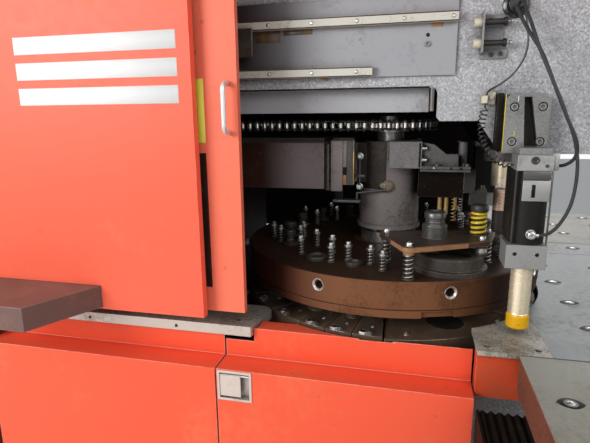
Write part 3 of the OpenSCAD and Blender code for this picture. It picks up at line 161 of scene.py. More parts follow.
class Graph:
    """Shader graph of one material or world, with one method that makes every node."""

    def __init__(self, owner: bpy.types.Material | bpy.types.World) -> None:
        """Starts with an empty graph.

        Args:
            owner: The new material or world.
        """
        owner.use_nodes = True
        self.owner = owner
        self.tree = owner.node_tree
        self.tree.nodes.clear()
        self._space: Sock | None = None

    def node(
        self,
        kind: str,
        settings: dict[str, object] | None = None,
        sockets: dict[str | int, object] | None = None,
        out: str | int = 0,
    ) -> Sock:
        """Makes a node.

        Args:
            kind: Blender's node type.
            settings: Settings of the node itself, set first.
            sockets: Values or links of its inputs, by name or number.
            out: The output that is returned.

        Returns:
            The chosen output.
        """
        made = self.tree.nodes.new(kind)
        for key, value in (settings or {}).items():
            setattr(made, key, value)
        for key, value in (sockets or {}).items():
            if isinstance(value, Sock):
                self.tree.links.new(value.out, made.inputs[key])
            else:
                made.inputs[key].default_value = value
        return Sock(self, made.outputs[out] if made.outputs else None)

    def math(self, operation: str, a: Value, b: Value) -> Sock:
        """Adds a Math node on two values."""
        return self.node("ShaderNodeMath", {"operation": operation}, {0: a, 1: b})

    def mix(self, share: Value, a: Sock | Colour, b: Sock | Colour) -> Sock:
        """Blends two colours, from a where share is 0 to b where it is 1."""
        sides = [c if isinstance(c, Sock) else (*c, 1.0) for c in (a, b)]
        return self.node(
            "ShaderNodeMix",
            {"data_type": "RGBA", "clamp_factor": True},
            {0: share, 6: sides[0], 7: sides[1]},
            out=2,
        )

    def space(self) -> Sock:
        """Returns the object's own coordinates, which move with it."""
        if self._space is None:
            self._space = self.node("ShaderNodeTexCoord", out="Object")
        return self._space

    def axis(self, name: str, source: Sock | None = None) -> Sock:
        """Splits off one axis of a vector.

        Args:
            name: "X", "Y" or "Z".
            source: The vector, by default the object's coordinates.

        Returns:
            The axis's value.
        """
        return self.node("ShaderNodeSeparateXYZ", None, {0: source or self.space()}, out=name)

    def stretched(self, scale: Point) -> Sock:
        """Returns the object's coordinates stretched along its axes."""
        return self.node("ShaderNodeMapping", None, {"Vector": self.space(), "Scale": tuple(scale)})

    def noise(
        self, scale: float, detail: float = 3.0, roughness: float = 0.55, source: Sock | None = None
    ) -> Sock:
        """Makes a noise between 0 and 1.

        Args:
            scale: Features in a metre.
            detail: Octaves.
            roughness: Strength of the finer octaves.
            source: Coordinates, by default the object's.

        Returns:
            The noise.
        """
        return self.node(
            "ShaderNodeTexNoise",
            None,
            {
                "Vector": source or self.space(),
                "Scale": scale,
                "Detail": detail,
                "Roughness": roughness,
            },
        )

    def cells(self, scale: float, feature: str = "F1") -> Sock:
        """Makes the distance field of a cell pattern.

        Args:
            scale: Cells in a metre.
            feature: Blender's name of the distance.

        Returns:
            The distance.
        """
        return self.node(
            "ShaderNodeTexVoronoi",
            {"feature": feature},
            {"Vector": self.space(), "Scale": scale},
            out="Distance",
        )

    def facing(self, axis: str) -> Sock:
        """Returns one axis of the surface's direction in the object's own space."""
        turned = self.node(
            "ShaderNodeVectorTransform",
            {"vector_type": "NORMAL", "convert_from": "WORLD", "convert_to": "OBJECT"},
            {0: self.node("ShaderNodeNewGeometry", out="Normal")},
        )
        return self.axis(axis, turned)

    def edges(self, radius: float) -> tuple[Sock, Sock]:
        """Finds the worn edges.

        Args:
            radius: How far from an edge its wear reaches, in metres.

        Returns:
            The share of wear and the rounded direction of the surface.
        """
        soft = self.node("ShaderNodeBevel", {"samples": 4}, {"Radius": radius})
        flat = self.node("ShaderNodeNewGeometry", out="Normal")
        dot = self.node(
            "ShaderNodeVectorMath", {"operation": "DOT_PRODUCT"}, {0: soft, 1: flat}, out="Value"
        )
        return dot.ramp(0.995, 0.86), soft

    def hollows(self, reach: float) -> Sock:
        """Returns how enclosed a place is, from 0 in the open to 1 in a corner."""
        open_share = self.node(
            "ShaderNodeAmbientOcclusion", {"samples": 6}, {"Distance": reach}, out="AO"
        )
        return 1.0 - open_share

    def bump(self, height: Sock, depth: float, normal: Sock) -> Sock:
        """Turns a height into a surface direction.

        Args:
            height: Height between 0 and 1.
            depth: Real depth of the relief, in metres.
            normal: Direction that the relief is laid on.

        Returns:
            The bumped direction.
        """
        return self.node(
            "ShaderNodeBump", None, {"Strength": 1.0, "Distance": depth, "Height": height, "Normal": normal}
        )

    def surface(self, fixed: dict[str, float], varying: dict[str, object]) -> bpy.types.Material:
        """Closes the graph with its shader.

        Args:
            fixed: Constant inputs of the shader.
            varying: Inputs that change over the surface.

        Returns:
            The finished material.
        """
        shader = self.node("ShaderNodeBsdfPrincipled", None, {**fixed, **varying})
        self.node("ShaderNodeOutputMaterial", None, {"Surface": shader})
        return self.owner


# Finishes


@dataclass(frozen=True)
class Look:
    """Colours and gloss of a plain surface.

    Attributes:
        colour: Main colour.
        patch: Colour that clouds and stains blend in.
        rough: Roughness.
        metal: How metallic it is.
    """

    colour: Colour
    patch: Colour
    rough: float
    metal: float = 0.0


@dataclass(frozen=True)
class Zone:
    """Box of space, in millimetres, where a node takes another look.

    Attributes:
        low: Lowest corner.
        high: Highest corner.
        look: What the surface looks like inside.
        soft: Half the width of its blurred border.
    """

    low: Point
    high: Point
    look: Look
    soft: float = 0.0


def band(axis: str, low: float, high: float, look: Look, soft: float = 0.0) -> Zone:
    """Makes a zone that is bounded along one axis only.

    Args:
        axis: "X", "Y" or "Z".
        low: Where it starts, in millimetres, or -INF.
        high: Where it ends, or INF.
        look: What the surface looks like inside.
        soft: Half the width of its blurred border.

    Returns:
        The zone.
    """
    lows, highs = [-INF] * 3, [INF] * 3
    lows["XYZ".index(axis)], highs["XYZ".index(axis)] = low, high
    return Zone(tuple(lows), tuple(highs), look, soft)


class Grain(Enum):
    """Relief of a surface."""

    HAMMER = "rounded cells of hammertone enamel"
    ENAMEL = "slight orange peel of a sprayed coat"
    CAST = "grit of cast or flame-cut metal"
    GROUND = "fine lines along X"
    TURNED = "fine rings round an upright axis"
    SMOOTH = "no lines, only faint waves"


@dataclass(frozen=True)
class Finish:
    """Finish of one kind of part, as a procedural material.

    Attributes:
        name: Plain name of the material.
        look: Colours and gloss of the clean surface.
        grain: Relief.
        grain_size: Features of the relief in a metre.
        grain_depth: Depth of the relief, in metres.
        cloud: Size of the stains, as features in a metre.
        stain: Share of the surface that the second colour takes, from 0 to 1.
        wear: Strength of the worn edges, from 0 to 1.
        wear_look: What shows where the edges are worn.
        edge: Reach of the edge wear, in metres.
        dirt_and_shade: Strength of the darkening in corners and hollows, partly dirt and partly painted
            shade.
        dirt_and_shade_colour: Colour of that darkening.
        dust: Strength of the dust on the upward faces.
        dust_colour: Colour of the dust.
        specks: Strength of small spots.
        speck_colour: Colour of the spots.
        zones: Boxes with another look.
        grain_shading: Strength of the light and dark dapples at the grain's scale, painted highlights and
            shade of the grain.
        coat: Weight of a clear coat.
        alpha: Opacity.
        specular: Specular level.
    """

    name: str
    look: Look
    grain: Grain = Grain.SMOOTH
    grain_size: float = 200.0
    grain_depth: float = 0.0002
    cloud: float = 6.0
    stain: float = 0.5
    wear: float = 0.5
    wear_look: Look = Look((0.5, 0.49, 0.47), (0.35, 0.33, 0.3), 0.32, 1.0)
    edge: float = 0.0016
    dirt_and_shade: float = 0.5
    dirt_and_shade_colour: Colour = (0.025, 0.018, 0.013)
    dust: float = 0.0
    dust_colour: Colour = (0.2, 0.17, 0.13)
    specks: float = 0.0
    speck_colour: Colour = (0.05, 0.03, 0.02)
    zones: tuple[Zone, ...] = ()
    grain_shading: float = 0.0
    coat: float = 0.0
    alpha: float = 1.0
    specular: float = 0.5

    def relief(self, graph: Graph) -> Sock:
        """Returns the height of the surface's relief, from 0 to 1."""
        size = self.grain_size
        if self.grain is Grain.HAMMER:
            return graph.cells(size, "SMOOTH_F1") + graph.noise(size * 2.2, 2.0) * 0.4
        if self.grain is Grain.GROUND:
            return graph.noise(size, 3.0, 0.6, graph.stretched((0.03, 1.0, 1.0)))
        if self.grain is Grain.TURNED:
            return graph.noise(size, 3.0, 0.6, graph.stretched((0.03, 0.03, 1.0)))
        if self.grain is Grain.CAST:
            return graph.noise(size, 6.0, 0.7)
        return graph.noise(size, 1.5, 0.4)

    def inside(self, graph: Graph, zone: Zone) -> Sock:
        """Tells where a zone is.

        Args:
            graph: The material's graph.
            zone: The zone.

        Returns:
            1 inside the zone and 0 elsewhere.
        """
        share: Sock | None = None
        for name, low, high in zip("XYZ", zone.low, zone.high):
            for bound, over in ((low, True), (high, False)):
                if abs(bound) < INF:
                    place = graph.axis(name)
                    if zone.soft > 0:
                        way = zone.soft * MM if over else -zone.soft * MM
                        part = place.ramp(bound * MM - way, bound * MM + way)
                    else:
                        part = place > bound * MM if over else place < bound * MM
                    share = part if share is None else share * part
        if share is None:
            raise ValueError(f"{self.name} has a zone without a bound")
        return share

    def make(self) -> bpy.types.Material:
        """Builds the material.

        Returns:
            The material, made once and then shared.
        """
        label = self.name + "_finish"
        made = bpy.data.materials.get(label)
        if made is not None:
            return made
        graph = Graph(bpy.data.materials.new(label))
        clouds = graph.noise(self.cloud, 5.0, 0.62)
        fine = graph.noise(self.cloud * 14.0, 4.0, 0.6)
        stained = (clouds * 0.65 + fine * 0.35).ramp(0.66 - 0.36 * self.stain, 0.82 - 0.36 * self.stain)
        colour = graph.mix(stained, self.look.colour, self.look.patch)
        # Painted highlights and shade of the grain: lighter and darker dapples at the grain's scale.
        if self.grain_shading > 0:
            dapple = graph.noise(self.grain_size, 2.5, 0.65)
            light, deep = (tuple(c * k for c in self.look.colour) for k in (1.75, 0.5))
            colour = graph.mix(dapple.ramp(0.5, 0.72) * self.grain_shading, colour, light)
            colour = graph.mix(dapple.ramp(0.48, 0.3) * self.grain_shading, colour, deep)
        rough: Value = self.look.rough + (fine - 0.5) * 0.22
        metal: Value = self.look.metal
        for zone in self.zones:
            share = self.inside(graph, zone)
            colour = graph.mix(share, colour, graph.mix(stained, zone.look.colour, zone.look.patch))
            rough = rough + share * (zone.look.rough - self.look.rough)
            metal = metal + share * (zone.look.metal - self.look.metal)
        if self.dust > 0:
            settled = graph.facing("Z").ramp(0.5, 0.95) * (clouds * 0.5 + fine * 0.5).ramp(0.3, 0.7)
            settled = settled * self.dust
            colour = graph.mix(settled, colour, self.dust_colour)
            rough = rough + settled * 0.3
            if metal != 0.0:
                metal = metal * (1.0 - settled)
        if self.specks > 0:
            spots = (
                graph.cells(self.cloud * 9.0).ramp(0.16, 0.06)
                * graph.noise(self.cloud * 2.0).ramp(0.5, 0.7)
            )
            colour = graph.mix(spots * self.specks, colour, self.speck_colour)
        # Darkening by ambient occlusion in corners and hollows: partly dirt, partly painted shade.
        if self.dirt_and_shade > 0:
            dirt_and_shade_share = (graph.hollows(0.035) + (fine - 0.5) * 0.35).ramp(0.12, 0.75) * self.dirt_and_shade
            colour = graph.mix(dirt_and_shade_share, colour, self.dirt_and_shade_colour)
            rough = rough + dirt_and_shade_share * 0.25
            if metal != 0.0:
                metal = metal * (1.0 - dirt_and_shade_share)
        worn, soft = graph.edges(self.edge)
        if self.wear > 0:
            rubbed = worn * (fine * 0.7 + clouds * 0.3).ramp(0.62 - 0.3 * self.wear, 0.7 - 0.2 * self.wear)
            bare = self.wear_look
            colour = graph.mix(rubbed, colour, graph.mix(fine.ramp(0.4, 0.6), bare.colour, bare.patch))
            rough = rough + rubbed * (bare.rough - self.look.rough)
            metal = metal + rubbed * (bare.metal - self.look.metal)
        normal = graph.bump(self.relief(graph), self.grain_depth, soft)
        return graph.surface(
            {"Coat Weight": self.coat, "Specular IOR Level": self.specular, "Alpha": self.alpha},
            {"Base Color": colour, "Roughness": rough, "Metallic": metal, "Normal": normal},
        )


CORAL = Look((0.94, 0.14, 0.075), (0.95, 0.175, 0.085), 0.4)
LOW_CORAL = Look((0.96, 0.115, 0.05), (0.93, 0.15, 0.065), 0.42)
PALE_CORAL = Look((0.95, 0.72, 0.64), (0.9, 0.5, 0.4), 0.5)
# Near-black painted shade for the inside of the throat and of the far housing.
INNER_SHADE = Look((0.008, 0.004, 0.003), (0.02, 0.011, 0.008), 0.65)
FRAME_GREY = Look((0.44, 0.44, 0.455), (0.34, 0.34, 0.352), 0.46)
FRAME_SHADE = Look((0.014, 0.009, 0.008), (0.03, 0.022, 0.018), 0.6)
ALUMINIUM = Look((0.42, 0.42, 0.41), (0.27, 0.27, 0.26), 0.36, 0.5)
AMBER = Look((0.85, 0.46, 0.008), (0.72, 0.26, 0.004), 0.3)
BRASS = Look((0.5, 0.34, 0.13), (0.3, 0.18, 0.07), 0.35, 0.8)
BLACK_PART = Look((0.014, 0.013, 0.012), (0.03, 0.027, 0.024), 0.42)
PALE_SPECK = (0.3, 0.28, 0.25)


class Shop:
    """The finishes of the machine, each named for what wears it."""

    guard = Finish(
        "guard_enamel", CORAL, Grain.ENAMEL, 260, 0.00008, cloud=2.2, stain=0.25, wear=0.5,
        wear_look=PALE_CORAL, edge=0.0022, dirt_and_shade=0.3, dirt_and_shade_colour=(0.3, 0.03, 0.015), specks=0.3,
        speck_colour=(0.4, 0.05, 0.03), specular=0.22
    )
    door_guard = replace(
        guard, name="door_enamel", look=Look((0.95, 0.195, 0.11), (0.95, 0.22, 0.125), 0.4), stain=0.3,
        specks=0.4
    )
    lower_guard = replace(
        guard, name="lower_guard_enamel", look=LOW_CORAL, cloud=3.0, stain=0.45, wear=0.9, edge=0.003,
        dirt_and_shade=0.4, dirt_and_shade_colour=(0.2, 0.03, 0.015), specks=0.5, speck_colour=(0.35, 0.06, 0.04)
    )
    recess = replace(
        guard, name="recess_enamel", look=Look((0.62, 0.075, 0.028), (0.5, 0.09, 0.035), 0.48), cloud=8.0,
        stain=0.5, wear=0.7, edge=0.0016, dirt_and_shade=0.7, dirt_and_shade_colour=(0.12, 0.02, 0.01), specks=0.9,
        speck_colour=(0.12, 0.03, 0.015), specular=0.15
    )
    far_guard = replace(
        guard, name="far_guard_enamel", wear=0.4, edge=0.0016, speck_colour=(0.05, 0.03, 0.02),
        zones=(
            # Painted shade on the housing's inner faces.
            Zone((-1496, -577, -INF), (128, 576.5, INF), INNER_SHADE),
            Zone((100, -577, 1030), (INF, 576.5, INF), INNER_SHADE)
        )
    )
    frame = Finish(
        "hammertone_enamel", FRAME_GREY, Grain.HAMMER, 230, 0.0006, cloud=8.0, stain=0.4, wear=0.4,
        grain_shading=0.85, specular=0.15, wear_look=Look((0.5, 0.49, 0.48), (0.34, 0.33, 0.32), 0.4, 0.3),
        dirt_and_shade=0.5, specks=0.4, speck_colour=(0.1, 0.09, 0.085),
        zones=(
            Zone((-905, -INF, 890), (-728, -340, 1479), FRAME_SHADE, 12),
            # Painted shade: the frame's faces inside the throat are near-black.
            Zone((-INF, -349.5, -INF), (499, 349.5, INF), INNER_SHADE),
            Zone((-800, -349.6, 1479), (-87, -300, 1541.2), FRAME_GREY)
        )
    )
    base = Finish(
        "base_enamel", Look((0.09, 0.092, 0.096), (0.06, 0.058, 0.056), 0.5), Grain.HAMMER, 160, 0.0005,
        stain=0.6, wear=0.3, dirt_and_shade=0.7, dust=0.4
    )
    track = Finish(
        "track_enamel", Look((0.38, 0.38, 0.4), (0.28, 0.28, 0.29), 0.34), Grain.ENAMEL, 300, 0.00006,
        cloud=4.0, stain=0.4, wear=0.5, dirt_and_shade=0.6, dirt_and_shade_colour=(0.08, 0.055, 0.025), specks=0.6,
        speck_colour=(0.12, 0.09, 0.05), specular=0.2,
        zones=(
            # Painted shadow of the door: the track darkens towards its left end, left of X -470.
            band("X", -INF, -470, Look((0.04, 0.03, 0.032), (0.028, 0.02, 0.02), 0.5), 150),
        )
    )
    table = Finish(
        "table_enamel", Look((0.24, 0.255, 0.26), (0.15, 0.16, 0.155), 0.36), Grain.ENAMEL, 200, 0.00008,
        cloud=5.0, stain=0.5, wear=0.5, dirt_and_shade=0.5, dust=0.25, dust_colour=(0.25, 0.26, 0.25), specks=0.7,
        speck_colour=(0.1, 0.095, 0.085), specular=0.25
    )
    side_table = Finish(
        "side_table_enamel", Look((0.33, 0.33, 0.28), (0.25, 0.235, 0.19), 0.38), Grain.ENAMEL, 200,
        0.00008, cloud=6.0, stain=0.5, wear=0.6, dirt_and_shade=0.5, dust=0.5, dust_colour=(0.33, 0.31, 0.25),
        specks=0.8, speck_colour=(0.13, 0.11, 0.08), specular=0.25,
        zones=(
            Zone((-INF, -INF, -INF), (146, INF, 906), Look((0.17, 0.07, 0.045), (0.1, 0.05, 0.035), 0.5)),
        )
    )
    insert = Finish(
        "insert_enamel", Look((0.46, 0.43, 0.37), (0.15, 0.13, 0.095), 0.36), Grain.ENAMEL, 200, 0.00008,
        cloud=11.0, stain=0.6, wear=0.6, dirt_and_shade=0.7, dust=0.3, dust_colour=(0.2, 0.17, 0.12), specks=0.9,
        speck_colour=(0.1, 0.085, 0.06), specular=0.3
    )
    stand = Finish(
        "stand_enamel", Look((0.014, 0.012, 0.011), (0.008, 0.007, 0.006), 0.55), Grain.HAMMER, 160, 0.0005,
        stain=0.5, wear=0.4, dirt_and_shade=0.6, dust=0.1, dust_colour=(0.05, 0.035, 0.025), specular=0.06
    )
    beam = Finish(
        "beam_enamel", Look((0.1, 0.11, 0.115), (0.07, 0.072, 0.075), 0.42), Grain.ENAMEL, 200, 0.00008,
        stain=0.4, wear=0.5, dirt_and_shade=0.5, dust=0.2,
        zones=(
            band("Z", 1031, 1080, Look((0.085, 0.013, 0.018), (0.06, 0.01, 0.013), 0.4)),
            band("Z", 998, 1031, Look((0.78, 0.8, 0.78), (0.6, 0.61, 0.59), 0.4)),
            band("Z", -INF, 998, Look((0.078, 0.083, 0.08), (0.055, 0.055, 0.052), 0.45))
        )
    )
    shelf = Finish(
        "shelf_enamel", Look((0.14, 0.075, 0.06), (0.18, 0.09, 0.07), 0.5), Grain.CAST, 160, 0.0002,
        cloud=9.0, stain=0.55, wear=0.9, wear_look=Look((0.6, 0.4, 0.36), (0.35, 0.2, 0.17), 0.45, 0.2),
        edge=0.003, dirt_and_shade=0.4, dust=0.6, dust_colour=(0.26, 0.15, 0.12), specks=0.6,
        speck_colour=(0.4, 0.3, 0.26)
    )
    deck = Finish(
        "ground_deck", Look((0.62, 0.56, 0.49), (0.42, 0.36, 0.3), 0.36, 0.5), Grain.GROUND, 900, 0.00006,
        cloud=7.0, stain=0.4, wear=0.5, dirt_and_shade=0.7, dirt_and_shade_colour=(0.1, 0.07, 0.05), dust=0.85,
        dust_colour=(0.19, 0.115, 0.085), specks=0.9, speck_colour=(0.16, 0.12, 0.09)
    )
    bright = Finish(
        "bright_steel", Look((0.6, 0.6, 0.59), (0.42, 0.4, 0.37), 0.28, 1.0), Grain.GROUND, 900, 0.00004,
        cloud=12.0, stain=0.35, wear=0.6, dirt_and_shade=0.7, specks=0.3
    )
    turned = Finish(
        "turned_steel", Look((0.5, 0.48, 0.45), (0.28, 0.25, 0.21), 0.3, 0.9), Grain.TURNED, 900, 0.00004,
        cloud=12.0, stain=0.4, wear=0.6, dirt_and_shade=0.8
    )
    dark = Finish(
        "blackened_steel", Look((0.045, 0.038, 0.032), (0.09, 0.07, 0.055), 0.42, 0.2), Grain.TURNED, 700,
        0.00006, cloud=14.0, stain=0.5, wear=0.8,
        wear_look=Look((0.55, 0.52, 0.48), (0.35, 0.31, 0.26), 0.3, 0.9), edge=0.0011, dirt_and_shade=0.7,
        specks=0.5, speck_colour=PALE_SPECK, specular=0.3,
        zones=(
            Zone((100, -40, 1156), (INF, 40, INF), Look((0.95, 0.68, 0.52), (0.75, 0.46, 0.32), 0.28, 0.5)),
        )
    )
    head = Finish(
        "striking_head_steel", Look((0.12, 0.116, 0.112), (0.075, 0.068, 0.062), 0.32, 0.6), Grain.TURNED,
        700, 0.00005, cloud=14.0, stain=0.45, wear=0.9, edge=0.0014, dirt_and_shade=0.6, specks=0.3,
        speck_colour=PALE_SPECK, specular=0.3
    )
    chain = Finish(
        "chain_steel", Look((0.02, 0.017, 0.015), (0.05, 0.042, 0.036), 0.35, 0.5), Grain.SMOOTH, 400,
        0.00003, cloud=25.0, stain=0.5, wear=1.0,
        wear_look=Look((0.8, 0.78, 0.74), (0.55, 0.52, 0.47), 0.24, 1.0), edge=0.0012, dirt_and_shade=0.5,
        zones=tuple(
            band("Z", z - 7.8, z + 7.8, Look((0.78, 0.76, 0.72), (0.4, 0.37, 0.33), 0.22, 1.0))
            for z in (1439, 690)
        )
    )
    rim = Finish(
        "rim_iron", Look((0.19, 0.078, 0.036), (0.115, 0.045, 0.02), 0.46), Grain.CAST, 240, 0.00012,
        cloud=8.0, stain=0.5, wear=0.55, wear_look=Look((0.4, 0.22, 0.12), (0.26, 0.12, 0.06), 0.38, 0.5),
        dirt_and_shade=0.5, specks=0.7, speck_colour=(0.03, 0.012, 0.007), specular=0.12,
        zones=(
            # Painted shade: the rim darkens left of X -405, in the door's shadow, and right of X 30, where
            # it turns away from the light.
            band("X", -INF, -405, Look((0.03, 0.007, 0.004), (0.05, 0.01, 0.005), 0.46), 120),
            band("X", 30, INF, Look((0.022, 0.008, 0.004), (0.016, 0.005, 0.003), 0.5), 95),
            band("Z", 1046.2, INF, Look((0.034, 0.017, 0.01), (0.05, 0.028, 0.017), 0.46))
        )
    )
    cast = Finish(
        "grey_iron", Look((0.1, 0.09, 0.085), (0.15, 0.135, 0.125), 0.42, 0.2), Grain.CAST, 260, 0.00018,
        cloud=6.0, stain=0.5, wear=0.75, wear_look=Look((0.5, 0.48, 0.45), (0.34, 0.31, 0.27), 0.34, 0.8),
        dirt_and_shade=0.75, specks=0.5, speck_colour=PALE_SPECK, specular=0.3
    )
    hub = Finish(
        "hub_iron", Look((0.3, 0.26, 0.25), (0.16, 0.13, 0.12), 0.4, 0.1), Grain.CAST, 260, 0.00018,
        cloud=7.0, stain=0.5, wear=0.7, wear_look=Look((0.55, 0.52, 0.49), (0.38, 0.35, 0.31), 0.36, 0.7),
        dirt_and_shade=0.8, specks=0.5, speck_colour=PALE_SPECK, specular=0.15,
        zones=(
            Zone(
                (-INF, -INF, 1229), (-305.5, INF, INF),
                Look((0.3, 0.26, 0.24), (0.2, 0.16, 0.14), 0.42, 0.2)
            ),
            Zone(
                (-306, -149, 1229), (-206, INF, INF),
                Look((0.05, 0.04, 0.034), (0.09, 0.07, 0.055), 0.45, 0.1)
            )
        )
    )
    arm = Finish(
        "arm_enamel", Look((0.3, 0.25, 0.245), (0.2, 0.165, 0.16), 0.4), Grain.ENAMEL, 260, 0.00008,
        cloud=6.0, stain=0.5, wear=0.9, wear_look=Look((0.5, 0.46, 0.42), (0.33, 0.28, 0.24), 0.38, 0.5),
        edge=0.002, dirt_and_shade=0.6, specks=0.8, speck_colour=PALE_SPECK, specular=0.12,
        zones=(
            # Painted shadow of the door: the arm darkens left of X -550.
            band("X", -INF, -550, Look((0.04, 0.014, 0.01), (0.06, 0.028, 0.02), 0.5), 80),
            band("Z", 1384, INF, Look((0.05, 0.035, 0.032), (0.08, 0.06, 0.05), 0.42), 3)
        )
    )
    rail = Finish(
        "greasy_rail", Look((0.64, 0.62, 0.54), (0.4, 0.35, 0.22), 0.34, 0.0), Grain.SMOOTH, 60, 0.0004,
        cloud=16.0, stain=0.4, wear=0.5, dirt_and_shade=0.8, dirt_and_shade_colour=(0.12, 0.07, 0.02), specks=0.9,
        speck_colour=(0.16, 0.09, 0.02), coat=0.15
    )
    rusty_plate = Finish(
        "primed_plate", Look((0.05, 0.034, 0.027), (0.09, 0.055, 0.04), 0.42, 0.1), Grain.CAST, 240,
        0.00012, cloud=10.0, stain=0.45, wear=1.0,
        wear_look=Look((0.5, 0.25, 0.12), (0.34, 0.15, 0.065), 0.4, 0.2), edge=0.0045, dirt_and_shade=0.5,
        specks=0.8, speck_colour=PALE_SPECK, specular=0.3,
        zones=(
            Zone(
                (-INF, -INF, 1090), (INF, -400, 1136.5), Look((0.34, 0.17, 0.08), (0.2, 0.09, 0.04), 0.42)
            ),
        )
    )
    ram_bar = Finish(
        "ram_coating", Look((0.95, 0.8, 0.58), (0.78, 0.58, 0.36), 0.3, 0.5), Grain.TURNED, 700, 0.00003,
        stain=0.4, wear=0.4, dirt_and_shade=0.5, specks=0.5
    )
    hold_bar = Finish(
        "hold_down_coating", Look((0.96, 0.84, 0.62), (0.8, 0.62, 0.38), 0.28, 0.6), Grain.TURNED, 700,
        0.00003, stain=0.35, wear=0.3, dirt_and_shade=0.4, specks=0.6, speck_colour=(0.35, 0.22, 0.1), specular=0.3,
        zones=(band("Z", -INF, 967, AMBER),)
    )
    barrel = Finish(
        "barrel_enamel", Look((0.014, 0.013, 0.012), (0.028, 0.025, 0.022), 0.38), Grain.ENAMEL, 260,
        0.00006, stain=0.5, wear=0.7, edge=0.0012, dirt_and_shade=0.5, specks=0.6, speck_colour=PALE_SPECK,
        specular=0.16, zones=(band("Z", 1340.4, INF, ALUMINIUM),)
    )
    milled = Finish(
        "milled_aluminium", Look((0.36, 0.36, 0.35), (0.24, 0.24, 0.23), 0.38, 0.4), Grain.GROUND, 800,
        0.00006, grain_shading=0.35, cloud=12.0, stain=0.4, wear=0.6, dirt_and_shade=0.6, specks=0.95,
        speck_colour=(0.08, 0.07, 0.06)
    )
    bracket = Finish(
        "bracket_steel", Look((0.25, 0.25, 0.245), (0.17, 0.17, 0.165), 0.38, 0.3), Grain.CAST, 220,
        0.00014, cloud=9.0, stain=0.5, wear=0.9, dirt_and_shade=0.6, specks=0.6, speck_colour=PALE_SPECK, grain_shading=0.4,
        zones=(band("Y", -398, 398, BLACK_PART), band("X", -INF, 94.7, BLACK_PART))
    )
    yellow = Finish(
        "spring_yellow", Look((0.85, 0.62, 0.03), (0.75, 0.48, 0.02), 0.35), Grain.SMOOTH, 200, 0.00005,
        cloud=30.0, stain=0.4, wear=0.3, dirt_and_shade=0.5, coat=0.2
    )
    pane = Finish(
        "smoked_pane", Look((0.03, 0.018, 0.014), (0.05, 0.03, 0.024), 0.18), Grain.SMOOTH, 40, 0.0001,
        cloud=5.0, stain=0.5, wear=0.0, dirt_and_shade=0.3, specks=0.5, speck_colour=(0.14, 0.1, 0.09), alpha=0.93,
        specular=0.3
    )
    rubber = Finish(
        "black_rubber", Look((0.01, 0.01, 0.01), (0.02, 0.019, 0.018), 0.25), Grain.SMOOTH, 300, 0.00005,
        cloud=20.0, stain=0.4, wear=0.0, dirt_and_shade=0.3, coat=0.4
    )
    hose = Finish(
        "grey_hose", Look((0.05, 0.05, 0.052), (0.03, 0.03, 0.03), 0.4), Grain.SMOOTH, 300, 0.00004,
        cloud=20.0, stain=0.4, wear=0.0, dirt_and_shade=0.3, specular=0.15
    )
    bumper = Finish(
        "bumper_urethane", Look((0.72, 0.66, 0.5), (0.5, 0.42, 0.27), 0.42), Grain.SMOOTH, 120, 0.0001,
        cloud=30.0, stain=0.45, wear=0.0, dirt_and_shade=0.6, zones=(band("X", 29.5, INF, BLACK_PART),)
    )
    cream = replace(bumper, name="cream_plastic", wear=0.2, zones=())
    handle = Finish(
        "handle_aluminium", Look((0.78, 0.78, 0.77), (0.62, 0.6, 0.57), 0.34, 0.5), Grain.SMOOTH, 200,
        0.00003, cloud=20.0, stain=0.35, wear=0.0, dirt_and_shade=0.8
    )
    dish = Finish(
        "latch_zinc", Look((0.73, 0.64, 0.57), (0.56, 0.46, 0.38), 0.32, 0.7), Grain.SMOOTH, 200, 0.00005,
        cloud=14.0, stain=0.4, wear=0.4, dirt_and_shade=0.7, specks=0.5
    )
    bellows = Finish(
        "bellows_cloth", Look((0.009, 0.0075, 0.006), (0.018, 0.015, 0.012), 0.7), Grain.CAST, 500, 0.0001,
        cloud=14.0, stain=0.5, wear=0.25,
        wear_look=Look((0.06, 0.055, 0.05), (0.04, 0.037, 0.033), 0.6, 0.0), dirt_and_shade=0.4, dust=0.2,
        dust_colour=(0.05, 0.042, 0.034), specular=0.03
    )
    balls = Finish(
        "ball_steel", Look((0.15, 0.14, 0.12), (0.09, 0.08, 0.065), 0.35, 0.5), Grain.SMOOTH, 200, 0.00003,
        cloud=30.0, stain=0.5, wear=0.5, dirt_and_shade=0.9,
        zones=(
            band("Z", 912.15, INF, Look((0.85, 0.84, 0.82), (0.7, 0.68, 0.64), 0.14, 1.0)),
        )
    )
    motor = Finish(
        "motor_enamel", Look((0.04, 0.04, 0.042), (0.06, 0.058, 0.056), 0.42), Grain.ENAMEL, 260, 0.0001,
        stain=0.5, wear=0.5, dirt_and_shade=0.6
    )
    stripe = Finish(
        "white_stripe", Look((0.9, 0.89, 0.88), (0.84, 0.78, 0.74), 0.4), Grain.SMOOTH, 120, 0.00004,
        cloud=10.0, stain=0.3, wear=0.0, dirt_and_shade=0.0, specks=0.2, speck_colour=(0.3, 0.1, 0.08)
    )
    patch = Finish(
        "yellow_patch", Look((0.93, 0.88, 0.1), (0.85, 0.76, 0.12), 0.45), Grain.SMOOTH, 120, 0.00004,
        cloud=14.0, stain=0.4, wear=0.0, dirt_and_shade=0.2, specks=0.3
    )
    brass = Finish(
        "brass_part", BRASS, Grain.TURNED, 700, 0.00003, cloud=30.0, stain=0.5, wear=0.5, dirt_and_shade=0.6,
        specks=0.6
    )
    weld = Finish(
        "weld_bead", Look((0.13, 0.11, 0.105), (0.2, 0.18, 0.17), 0.3, 0.2), Grain.SMOOTH, 300, 0.00008,
        cloud=40.0, stain=0.5, wear=0.7, dirt_and_shade=0.5, specks=0.5, speck_colour=PALE_SPECK
    )
